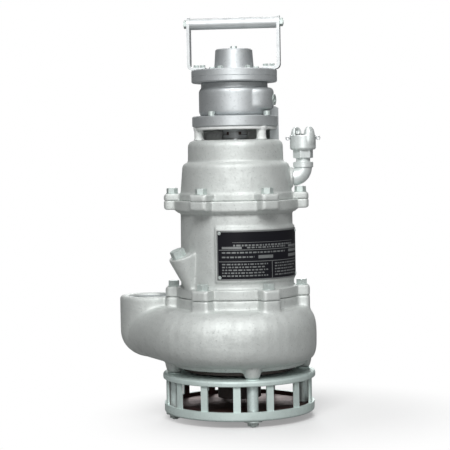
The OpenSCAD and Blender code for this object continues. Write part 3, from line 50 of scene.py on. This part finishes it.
# Lengths are in metres, in the CAD's own frame. ROOT is the pump's fixed body, which every piece made
# here rides on.
ROOT = "frame_body"


def link_object(name, data):
    obj = bpy.data.objects.new(name, data)
    bpy.context.scene.collection.objects.link(obj)
    return obj


# Camera, on the pump's centre line, with the shaft's axis a little right of the square picture's middle

PICTURE_PX = 450
LENS_PX = 1475.0
HORIZON_PX = 156.0
AXIS_PX = 236.7
ROLL_DEG = -1.0
EYE = Vector((0.0, -2.80, 0.496))
SENSOR_MM = 36.0
SIGHT = 30.0


def add_camera():
    data = bpy.data.cameras.new("camera")
    data.sensor_width = SENSOR_MM
    data.lens = LENS_PX / PICTURE_PX * SENSOR_MM
    data.clip_end = SIGHT
    camera = link_object("camera", data)
    pitch = math.atan((PICTURE_PX / 2 - HORIZON_PX) / LENS_PX)
    yaw = math.atan((AXIS_PX - PICTURE_PX / 2) / LENS_PX)
    turn = Matrix.Rotation(yaw, 4, "Z") @ Matrix.Rotation(math.pi / 2 - pitch, 4, "X")
    camera.matrix_world = Matrix.Translation(EYE) @ turn @ Matrix.Rotation(math.radians(ROLL_DEG), 4, "Z")
    bpy.context.scene.camera = camera


# Node trees


class Nodes:
    """Short calls that build a node tree. An input takes a value or another node's output."""

    def __init__(self, tree):
        self.tree = tree

    def put(self, socket, value):
        if isinstance(value, bpy.types.NodeSocket):
            self.tree.links.new(value, socket)
        else:
            socket.default_value = value

    def add(self, kind, inputs=None, **settings):
        node = self.tree.nodes.new(kind)
        for key, value in settings.items():
            setattr(node, key, value)
        for key, value in (inputs or {}).items():
            self.put(node.inputs[key], value)
        return node

    def calc(self, operation, *values):
        node = self.add("ShaderNodeMath", operation=operation)
        for socket, value in zip(node.inputs, values):
            self.put(socket, value)
        return node.outputs["Value"]

    def ramp(self, value, low, high, to_low=0.0, to_high=1.0, **settings):
        """Carries low to to_low and high to to_high, evenly between them and level beyond them."""
        inputs = {"Value": value, "From Min": low, "From Max": high, "To Min": to_low, "To Max": to_high}
        return self.add("ShaderNodeMapRange", inputs, **settings).outputs["Result"]

    def blend(self, share, under, over):
        """A colour between two others."""
        inputs = {"Factor": share, "A": under, "B": over}
        return self.add("ShaderNodeMix", inputs, data_type="RGBA").outputs["Result"]

    def switch(self, share, one, other):
        """A shader between two others."""
        return self.add("ShaderNodeMixShader", {"Fac": share, 1: one, 2: other}).outputs["Shader"]


class Shader(Nodes):
    """A material with its Principled shader, and the procedural detail that is laid over it."""

    def __init__(self, name, color, metallic, roughness, gloss=0.5):
        self.material = bpy.data.materials.new(name)
        self.material.use_nodes = True
        super().__init__(self.material.node_tree)
        self.color = color
        self.sockets = self.tree.nodes["Principled BSDF"].inputs
        self.put(self.sockets["Base Color"], (*color, 1.0))
        self.put(self.sockets["Metallic"], metallic)
        self.put(self.sockets["Roughness"], roughness)
        self.put(self.sockets["Specular IOR Level"], gloss)
        self.place = self.add("ShaderNodeTexCoord").outputs["Object"]

    def stretched(self, scale):
        return self.add("ShaderNodeMapping", {"Vector": self.place, "Scale": scale}).outputs["Vector"]

    def noise(self, scale, detail=4.0, rough=0.6, stretch=(1, 1, 1)):
        inputs = {"Vector": self.stretched(stretch), "Scale": scale, "Detail": detail, "Roughness": rough}
        return self.add("ShaderNodeTexNoise", inputs).outputs["Fac"]

    def sharpness(self):
        """How sharp the surface is: 0.5 where it is flat, more on outer edges, less in corners."""
        return self.add("ShaderNodeNewGeometry").outputs["Pointiness"]

    def shaft_distance(self):
        inputs = {0: self.stretched((1, 1, 0))}
        return self.add("ShaderNodeVectorMath", inputs, operation="LENGTH").outputs["Value"]

    def floor_height(self):
        return self.add("ShaderNodeSeparateXYZ", {"Vector": self.place}).outputs["Z"]

    def tint(self, share, color):
        """Lays a share of a colour over what the base colour is so far."""
        base = self.sockets["Base Color"]
        under = base.links[0].from_socket if base.links else base.default_value
        self.put(base, self.blend(share, under, (*color, 1.0)))

    def darken(self, value, start, full, cover, factor):
        """Covers up to that share of the colour with a darker one, where value goes from start to full."""
        self.tint(self.ramp(value, start, full, to_high=cover), [factor * channel for channel in self.color])

    def rough(self, value, more=0.0):
        self.put(self.sockets["Roughness"], self.calc("ADD", value, more))

    def bump(self, value, distance):
        normal = self.sockets["Normal"]
        inputs = {"Height": value, "Distance": distance}
        if normal.links:
            inputs["Normal"] = normal.links[0].from_socket
        self.put(normal, self.add("ShaderNodeBump", inputs).outputs["Normal"])


# Materials

# The dark red-brown inside the strainer, rust together with painted shade, and where that mark stops
RUST_AND_SHADE = (0.095, 0.040, 0.034)
RUST_AND_SHADE_EDGE = 0.0004
RUST_AND_SHADE_PAST_BARS = 0.0003
RUST_AND_SHADE_UNDER_PLATE_TOP = 0.0005
STAINED_RUST_AND_SHADE = 0.45
WORN_PAINT = 1.18
ZINC_METALLIC = 0.55
SPANGLE_SCALE = 420.0


def cast_paint(name, color, metallic, roughness, grain, inside=None):
    """Paint over a sand casting: a soft grain, slow waves, worn edges and painted shade in the corners.

    inside is a radius and a height: within both, the casting is dark red-brown instead, rust together with
    painted shade."""
    s = Shader(name, color, metallic, roughness)
    waves = s.noise(scale=7.0, detail=5.0)
    patches = s.noise(scale=38.0, detail=6.0, rough=0.62)
    pits = s.noise(scale=260.0, detail=3.0)
    sand = s.noise(scale=900.0, detail=2.0, rough=0.7)
    s.darken(waves, start=0.42, full=0.75, cover=0.7, factor=0.80)
    s.darken(patches, start=0.52, full=0.72, cover=0.7, factor=0.80)
    s.darken(pits, start=0.61, full=0.74, cover=0.7, factor=0.66)
    # Painted shade: darker in corners and creases, where the surface's pointiness is low
    s.darken(s.sharpness(), start=0.49, full=0.42, cover=0.55, factor=0.55)
    worn = [min(1.0, WORN_PAINT * channel) for channel in color]
    s.tint(s.ramp(s.sharpness(), low=0.53, high=0.60, to_high=0.5), worn)
    s.rough(s.ramp(patches, low=0.3, high=0.7, to_low=roughness - 0.05, to_high=roughness + 0.07),
            s.ramp(pits, low=0.5, high=0.75, to_high=0.12))
    s.bump(patches, distance=0.0011 * grain)
    s.bump(pits, distance=0.00032 * grain)
    s.bump(sand, distance=0.00010 * grain)
    # Inside the strainer the casting is dark red-brown: rust together with painted shade, darker still in
    # patches
    if inside:
        reach, top = inside
        within = s.ramp(s.shaft_distance(), reach, reach + RUST_AND_SHADE_EDGE, to_low=1.0, to_high=0.0)
        below = s.ramp(s.floor_height(), top, top + RUST_AND_SHADE_EDGE, to_low=1.0, to_high=0.0)
        rust_and_shade = s.calc("MULTIPLY", within, below)
        s.tint(rust_and_shade, RUST_AND_SHADE)
        stains = s.ramp(patches, low=0.45, high=0.7, to_high=0.8)
        s.tint(s.calc("MULTIPLY", rust_and_shade, stains), [STAINED_RUST_AND_SHADE * channel for channel in RUST_AND_SHADE])
    return s.material


def turned(name, color, metallic, roughness, pitch=0.0011):
    """Turned or drawn metal: fine rings along Z, stained a little in patches."""
    s = Shader(name, color, metallic, roughness)
    rings = s.noise(scale=1.0 / pitch, detail=2.0, rough=0.5, stretch=(0.02, 0.02, 1.0))
    stains = s.noise(scale=55.0, detail=5.0)
    s.darken(stains, start=0.5, full=0.75, cover=0.5, factor=0.78)
    # Painted shade: darker in corners and creases, where the surface's pointiness is low
    s.darken(s.sharpness(), start=0.49, full=0.43, cover=0.5, factor=0.6)
    s.rough(s.ramp(stains, low=0.3, high=0.7, to_low=roughness - 0.06, to_high=roughness + 0.08),
            s.ramp(rings, low=0.4, high=0.6, to_high=0.08))
    s.bump(rings, distance=0.00005)
    return s.material


def plated(name, color, roughness):
    """Zinc plate: a faint spangle, dulled a little in patches."""
    s = Shader(name, color, ZINC_METALLIC, roughness)
    spangle = s.add("ShaderNodeTexVoronoi", {"Vector": s.place, "Scale": SPANGLE_SCALE}).outputs["Distance"]
    dull = s.noise(scale=160.0)
    s.darken(dull, start=0.5, full=0.7, cover=0.6, factor=0.74)
    # Painted shade: darker in corners and creases, where the surface's pointiness is low
    s.darken(s.sharpness(), start=0.49, full=0.43, cover=0.5, factor=0.55)
    s.rough(s.ramp(spangle, low=0.0, high=0.6, to_low=roughness, to_high=roughness + 0.1),
            s.ramp(dull, low=0.4, high=0.7, to_high=0.12))
    s.bump(dull, distance=0.00012)
    return s.material


def plain(name, color, roughness, scale, depth, metallic=0.0, gloss=0.5):
    """Rubber, plastic and other plain stuff, with a fine grain of its own size."""
    s = Shader(name, color, metallic, roughness, gloss)
    grain = s.noise(scale)
    s.darken(grain, start=0.5, full=0.75, cover=0.6, factor=0.7)
    s.rough(s.ramp(grain, low=0.3, high=0.7, to_low=roughness - 0.05, to_high=roughness + 0.08))
    s.bump(grain, distance=depth)
    return s.material


def strainer_inside():
    """The radius and the height that hold the strainer's inside, dark red-brown as rust together with painted
    shade, up to the bars' inner faces.
    """
    bars = nodes["strainer_bars"].data.vertices
    reach = min(math.hypot(v.co.x, v.co.y) for v in bars) + RUST_AND_SHADE_PAST_BARS
    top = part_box("strainer_top_plate")[1].z - RUST_AND_SHADE_UNDER_PLATE_TOP
    return reach, top


# grain is how deep a casting's texture is, scale how fine a plain surface's is, and depth how deep
CAST = cast_paint("cast_silver", (0.63, 0.655, 0.64), metallic=0.66, roughness=0.66, grain=1.0)
# The lantern's cast paint, lighter and matter than the other castings: painted light for its shaded inside
LIT_MATT_CAST = cast_paint("lantern_silver_lit", (0.72, 0.74, 0.73), metallic=0.15, roughness=0.62, grain=0.7)
STRAINER = cast_paint("strainer_silver", (0.60, 0.695, 0.67), metallic=0.42, roughness=0.55, grain=0.7,
                      inside=strainer_inside())
MOTOR = cast_paint("motor_silver", (0.56, 0.585, 0.595), metallic=0.94, roughness=0.56, grain=0.45)
# Dark iron for the parts inside the strainer: partly the iron's own colour, and partly painted shade where
# little light reaches
SHADED_DARK_IRON = cast_paint("iron_dark", (0.075, 0.062, 0.058), metallic=0.30, roughness=0.58, grain=1.0)
TUBE = plated("strainer_tube", (0.66, 0.75, 0.73), roughness=0.36)
ZINC = plated("zinc", (0.56, 0.62, 0.60), roughness=0.38)
FORGED = plated("forged_zinc", (0.72, 0.76, 0.75), roughness=0.35)
BRIGHT = turned("handle_plate", (0.55, 0.57, 0.575), metallic=0.80, roughness=0.48)
STEEL = turned("machined_steel", (0.52, 0.54, 0.55), metallic=0.95, roughness=0.30)
BRASS = turned("bearing_brass", (0.62, 0.47, 0.22), metallic=0.95, roughness=0.32)
HUB = turned("drive_hub", (0.42, 0.43, 0.44), metallic=0.45, roughness=0.55)
BLACK_PLATE = plain("nameplate_black", (0.010, 0.010, 0.013), roughness=0.42, scale=500.0, depth=0.00003,
                    gloss=0.08)
PRINT = plain("nameplate_print", (0.20, 0.21, 0.21), roughness=0.42, scale=500.0, depth=0.00002,
              metallic=0.4)
RUBBER = plain("rubber_black", (0.022, 0.022, 0.022), roughness=0.62, scale=700.0, depth=0.00008)
SPIDER = plain("spider_red", (0.045, 0.024, 0.022), roughness=0.5, scale=300.0, depth=0.00006)
PHENOLIC = plain("vane_brown", (0.20, 0.12, 0.07), roughness=0.5, scale=300.0, depth=0.00006)

BY_SLOT = {
    "cast_silver": CAST,
    "strainer_silver": STRAINER,
    "motor_silver": MOTOR,
    "iron_dark": SHADED_DARK_IRON,
    "zinc": ZINC,
    "handle_plate": BRIGHT,
    "machined_steel": STEEL,
    "bearing_brass": BRASS,
    "nameplate_black": BLACK_PLATE,
    "rubber_black": RUBBER,
    "spider_red": SPIDER,
    "vane_brown": PHENOLIC,
}

# Nodes whose finish differs a little from the rest of their slot
BY_NODE = {
    "spacer_tubes": TUBE,
    "air_elbow": FORGED,
    "drive_hub_lower": HUB,
    "drive_hub_upper": HUB,
}


def dress_nodes():
    slots = {row["node"]: row["material_slot"] for row in frame["record"]["subparts"]}
    for name, obj in nodes.items():
        obj.data.materials.clear()
        obj.data.materials.append(BY_NODE.get(name) or BY_SLOT[slots[name]])


# Making pieces

WELD = 0.00001


def object_of(name, bm):
    """Makes an object of a bmesh, which it uses up."""
    mesh = bpy.data.meshes.new(name)
    bm.to_mesh(mesh)
    bm.free()
    return link_object(name, mesh)


def welded(node):
    """A CAD node's shape with the corners of its faces joined."""
    bm = bmesh.new()
    bm.from_mesh(nodes[node].data)
    bmesh.ops.remove_doubles(bm, verts=bm.verts, dist=WELD)
    return bm


def wear(obj, material):
    obj.data.materials.clear()
    obj.data.materials.append(material)
    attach(obj, ROOT)


def apply_modifiers(obj):
    shown = obj.evaluated_get(bpy.context.evaluated_depsgraph_get())
    mesh = bpy.data.meshes.new_from_object(shown)
    obj.modifiers.clear()
    obj.data = mesh


def drop_specks(obj, fewest=200):
    """Leaves out loose specks of fewer points than that, which a skin makes in narrow corners."""
    bm = bmesh.new()
    bm.from_mesh(obj.data)
    left = set(bm.verts)
    specks = []
    while left:
        part = [left.pop()]
        for vert in part:
            for edge in vert.link_edges:
                other = edge.other_vert(vert)
                if other in left:
                    left.remove(other)
                    part.append(other)
        if len(part) < fewest:
            specks += part
    bmesh.ops.delete(bm, geom=specks, context="VERTS")
    bm.to_mesh(obj.data)
    bm.free()


def skin(obj, voxel, passes):
    """Makes one skin of all that obj holds, and eases its edges and corners."""
    remesh = obj.modifiers.new("skin", "REMESH")
    remesh.mode = "VOXEL"
    remesh.voxel_size = voxel
    ease = obj.modifiers.new("ease", "SMOOTH")
    ease.factor = 0.5
    ease.iterations = passes
    apply_modifiers(obj)
    drop_specks(obj)
    obj.data.shade_smooth()


def cast_piece(node, material, voxel, passes):
    """A casting's own skin: the node's solid with every edge and corner rounded as a sand mould leaves it."""
    obj = object_of("cast_" + node, welded(node))
    skin(obj, voxel, passes)
    wear(obj, material)
    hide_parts(node)


# Claw coupling: the head with two thick round claws, each hollowed on its inner side

CLAW_BEARING_DEG = 40.0
CLAW_RISE = 0.020
CLAW_FOOT = 0.0048
CLAW_HALF_WIDTH = 0.0112
CLAW_HALF_HEIGHT = 0.0205
CLAW_HALF_DEPTH = 0.0096
CLAW_MIDDLE_R = 0.0180
CLAW_INNER_R = 0.0156
CLAW_BLUNTNESS = 2.6
HOLLOW_R = 0.0040
HOLLOW_DEPTH = 0.0050
HOLLOW_UP = 0.0065
HEAD_TRIM = 0.0002


def claw_lobe(bm, axis_x, face, bearing):
    """An upright lobe on the head's side that rises past its face, blunt as seen from outside."""
    a = math.radians(bearing)
    outward = Vector((math.sin(a), -math.cos(a), 0))
    across = Vector((math.cos(a), math.sin(a), 0))
    made = bmesh.ops.create_uvsphere(bm, u_segments=96, v_segments=64, radius=1.0)
    for vert in made["verts"]:
        x, y, z = vert.co
        blunt = (abs(x) ** CLAW_BLUNTNESS + abs(z) ** CLAW_BLUNTNESS) ** (1 / CLAW_BLUNTNESS)
        fuller = math.hypot(x, z) / max(blunt, 1e-6)
        side = x * fuller * CLAW_HALF_WIDTH
        reach = CLAW_MIDDLE_R + y * CLAW_HALF_DEPTH
        up = z * fuller * CLAW_HALF_HEIGHT - CLAW_FOOT
        wall = math.sqrt(CLAW_INNER_R ** 2 - side ** 2)
        if reach < wall:
            away = math.hypot(side, up - HOLLOW_UP) / HOLLOW_R
            reach = wall + HOLLOW_DEPTH * math.sqrt(max(0.0, 1 - away ** 2))
        vert.co = Vector((axis_x, 0, face + up)) + outward * reach + across * side


def claw_coupling():
    low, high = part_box("claw_coupling")
    face = high.z - CLAW_RISE
    bm = welded("claw_coupling")
    cut = bmesh.ops.bisect_plane(bm, geom=bm.verts[:] + bm.edges[:] + bm.faces[:],
                                 plane_co=(0, 0, face - HEAD_TRIM), plane_no=(0, 0, 1), clear_outer=True)
    rim = [part for part in cut["geom_cut"] if isinstance(part, bmesh.types.BMEdge)]
    bmesh.ops.triangle_fill(bm, edges=rim, use_beauty=True)
    for turn in (0, 180):
        claw_lobe(bm, (low.x + high.x) / 2, face, CLAW_BEARING_DEG + turn)
    bmesh.ops.recalc_face_normals(bm, faces=bm.faces)
    obj = object_of("claw_coupling_forged", bm)
    skin(obj, voxel=0.0007, passes=3)
    wear(obj, FORGED)
    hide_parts("claw_coupling")


# The oil housing's nameplate: plain fields and rows of dashes, printed on the curved plate

PRINT_LIFT = 0.00006
PRINT_THICKNESS = 0.0001
PRINT_FACET = 0.004

# Left, bottom, right and top, as shares of the plate's width and height from its lower left corner: the
# border's four sides, two rules across, the rule between the columns, a thin line near the top, the fields
PRINT_FIELDS = (
    (0.0, 0.97, 1.0, 1.0),
    (0.0, 0.0, 1.0, 0.024),
    (0.0, 0.026, 0.012, 0.968),
    (0.988, 0.026, 1.0, 0.968),
    (0.02, 0.604, 0.98, 0.616),
    (0.02, 0.369, 0.98, 0.381),
    (0.545, 0.03, 0.552, 0.367),
    (0.15, 0.755, 0.86, 0.762),
    (0.05, 0.63, 0.24, 0.675),
    (0.78, 0.63, 0.97, 0.675),
    (0.78, 0.53, 0.97, 0.585),
    (0.40, 0.43, 0.56, 0.495),
    (0.78, 0.43, 0.97, 0.490),
)

# Left, right, middle height and height of the dashes, as shares too, and the number that sets their lengths
PRINT_ROWS = (
    (0.16, 0.85, 0.70, 0.035, 5),
    (0.29, 0.74, 0.655, 0.030, 11),
    (0.05, 0.72, 0.555, 0.030, 23),
    (0.05, 0.36, 0.465, 0.030, 31),
)


def small_print():
    """Two columns of uneven rows under the lower rule."""
    rows, first, pitch, high = 5, 0.32, 0.058, 0.026
    columns = ((0.05, 0.50, 0.03, 2, 7, 13), (0.58, 0.95, 0.04, 3, 3, 17))
    for i in range(rows):
        for left, right, ragged, cycle, seed, seed_step in columns:
            yield left, right - ragged * (i % cycle), first - pitch * i, high, seed + seed_step * i


def dashes(left, right, middle, high, seed):
    """The fields of a row of dashes of uneven length, where small print would be."""
    shortest, spread, gap = 0.012, 0.030, 0.011
    factor, shift, span = 73, 41, 97
    u = left
    while u < right:
        seed = (seed * factor + shift) % span
        length = shortest + spread * seed / span
        yield u, middle - high / 2, min(right, u + length), middle + high / 2
        u += length + gap


def nameplate_print():
    low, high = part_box("nameplate")
    points = [v.co for v in nodes["nameplate"].data.vertices]
    radius = max(math.hypot(co.x, co.y) for co in points) + PRINT_LIFT
    start = min(math.atan2(co.x, -co.y) for co in points)
    width = max(math.atan2(co.x, -co.y) for co in points) - start
    fields = list(PRINT_FIELDS)
    for row in (*PRINT_ROWS, *small_print()):
        fields += dashes(*row)
    bm = bmesh.new()
    for left, bottom, right, top in fields:
        steps = max(1, round((right - left) * width * radius / PRINT_FACET))
        row = []
        for i in range(steps + 1):
            a = start + width * (left + (right - left) * i / steps)
            ends = (low.z + (high.z - low.z) * share for share in (bottom, top))
            row.append([bm.verts.new((radius * math.sin(a), -radius * math.cos(a), z)) for z in ends])
        for one, two in zip(row, row[1:]):
            bm.faces.new((one[0], two[0], two[1], one[1]))
    obj = object_of("nameplate_print", bm)
    ink = obj.modifiers.new("ink", "SOLIDIFY")
    ink.thickness = PRINT_THICKNESS
    ink.offset = -1.0
    apply_modifiers(obj)
    wear(obj, PRINT)


# Pipe thread in the discharge's mouth

THREAD_PITCH = 0.0032
THREAD_DEPTH = 0.0019
THREAD_TURNS = 7.2
THREAD_START = 0.0113
THREAD_BITE = 0.0002
THREAD_END = 0.02
THREAD_PARTS = 72


def discharge_thread():
    """A ridge that winds up from below the port's middle, grows over its first turn and dies away over
    its last."""
    port = next(mount for mount in frame["record"]["mounts"] if mount["name"] == "discharge_port")
    port_x, port_y, port_z = port["pos_m"]
    wall_r = port["dims"]["r_mm"] / 1000 + THREAD_BITE
    # The ridge's section: how far in from the wall, and how far up in pitches
    section = ((0.0, 0.30), (THREAD_DEPTH, 0.02), (THREAD_DEPTH, -0.10), (0.0, -0.36))
    bm = bmesh.new()
    rings = []
    for i in range(round(THREAD_TURNS * THREAD_PARTS) + 1):
        turn = i / THREAD_PARTS
        a = 2 * math.pi * turn
        size = max(THREAD_END, min(1.0, turn, THREAD_TURNS - turn))
        ring = []
        for inward, up in section:
            r = wall_r - inward * size
            z = port_z - THREAD_START + THREAD_PITCH * (turn + up)
            ring.append(bm.verts.new((port_x + r * math.cos(a), port_y + r * math.sin(a), z)))
        rings.append(ring)
    for one, two in zip(rings, rings[1:]):
        for j in range(len(section)):
            k = (j + 1) % len(section)
            bm.faces.new((one[j], two[j], two[k], one[k]))
    bm.faces.new(rings[0])
    bm.faces.new(rings[-1])
    bmesh.ops.recalc_face_normals(bm, faces=bm.faces)
    obj = object_of("discharge_thread", bm)
    obj.data.shade_smooth()
    obj.data.set_sharp_from_angle(angle=math.radians(40))
    wear(obj, MOTOR)


# Stage

WHITE = (1.0, 1.0, 1.0, 1.0)
FILL_COLOR = (0.97, 1.0, 1.0, 1.0)
FILL_STRENGTH = 0.05
MIRRORED_WHITE = 0.12
FLOOR_R = 2.6
FLOOR_SEEN = (0.76, 0.76, 0.76, 1.0)
FLOOR_LIT = (0.30, 0.30, 0.30, 1.0)
FADE_MIDDLE = (0.10, 0.0, 0.0)
FADE_FROM = 0.14
FADE_TO = 0.42
FADE_LEAST = 0.30


def soft_lamp(name, place, target, size, power):
    data = bpy.data.lights.new(name, "AREA")
    data.shape = "RECTANGLE"
    data.size, data.size_y = size
    data.energy = power
    lamp = link_object(name, data)
    lamp.location = place
    lamp.rotation_euler = (Vector(target) - Vector(place)).to_track_quat("-Z", "Y").to_euler()


def add_world():
    """White to the camera and through glass, part white in reflections, and a faint fill as light."""
    world = bpy.data.worlds.new("studio")
    bpy.context.scene.world = world
    world.use_nodes = True
    n = Nodes(world.node_tree)
    n.tree.nodes.clear()
    rays = n.add("ShaderNodeLightPath").outputs
    fill = n.add("ShaderNodeBackground", {"Color": FILL_COLOR, "Strength": FILL_STRENGTH})
    white = n.add("ShaderNodeBackground", {"Color": WHITE, "Strength": 1.0})
    mirrored = n.calc("MULTIPLY_ADD", rays["Is Glossy Ray"], MIRRORED_WHITE, rays["Is Transmission Ray"])
    seen = n.calc("MAXIMUM", rays["Is Camera Ray"], mirrored)
    sky = n.switch(seen, fill.outputs["Background"], white.outputs["Background"])
    n.add("ShaderNodeOutputWorld", {"Surface": sky})


def add_floor():
    """A matt floor that keeps the shadow, and fades to white away from the pump as the camera sees it."""
    bm = bmesh.new()
    bmesh.ops.create_circle(bm, cap_ends=True, radius=FLOOR_R, segments=96)
    floor = object_of("floor", bm)
    material = bpy.data.materials.new("floor")
    material.use_nodes = True
    n = Nodes(material.node_tree)
    n.tree.nodes.clear()
    camera_ray = n.add("ShaderNodeLightPath").outputs["Is Camera Ray"]
    matt = n.add("ShaderNodeBsdfDiffuse", {"Color": n.blend(camera_ray, FLOOR_LIT, FLOOR_SEEN)})
    glow = n.add("ShaderNodeEmission", {"Color": WHITE, "Strength": 1.0})
    place = n.add("ShaderNodeTexCoord").outputs["Object"]
    away = n.add("ShaderNodeVectorMath", {0: place, 1: FADE_MIDDLE}, operation="DISTANCE").outputs["Value"]
    fade = n.ramp(away, FADE_FROM, FADE_TO, to_low=FADE_LEAST, interpolation_type="SMOOTHSTEP")
    share = n.calc("MULTIPLY", fade, camera_ray)
    surface = n.switch(share, matt.outputs["BSDF"], glow.outputs["Emission"])
    n.add("ShaderNodeOutputMaterial", {"Surface": surface})
    floor.data.materials.append(material)


add_camera()
dress_nodes()
cast_piece("volute_casing", CAST, voxel=0.0018, passes=26)
cast_piece("oil_housing", CAST, voxel=0.0016, passes=6)
cast_piece("upper_housing", CAST, voxel=0.0016, passes=6)
cast_piece("motor_body", MOTOR, voxel=0.0012, passes=14)
cast_piece("lantern", LIT_MATT_CAST, voxel=0.0012, passes=5)
claw_coupling()
nameplate_print()
discharge_thread()
add_world()
add_floor()
soft_lamp("key", place=(-0.10, -2.5, 2.35), target=(0, 0, 0.40), size=(1.8, 1.2), power=104.0)
soft_lamp("left", place=(-2.3, -0.8, 1.5), target=(0, 0, 0.35), size=(0.9, 1.2), power=1.5)
soft_lamp("right", place=(2.3, -1.2, 1.5), target=(0, 0, 0.35), size=(0.9, 1.2), power=2.5)
soft_lamp("front", place=(-0.05, -2.7, 0.60), target=(0, 0, 0.50), size=(0.9, 0.5), power=10.0)
soft_lamp("top", place=(0.1, 0.1, 2.6), target=(0, 0, 0.5), size=(1.2, 1.2), power=14.0)
soft_lamp("back", place=(0.2, 2.7, 1.7), target=(0, 0, 0.35), size=(0.9, 1.2), power=38.0)
bpy.context.scene.view_settings.view_transform = "Standard"
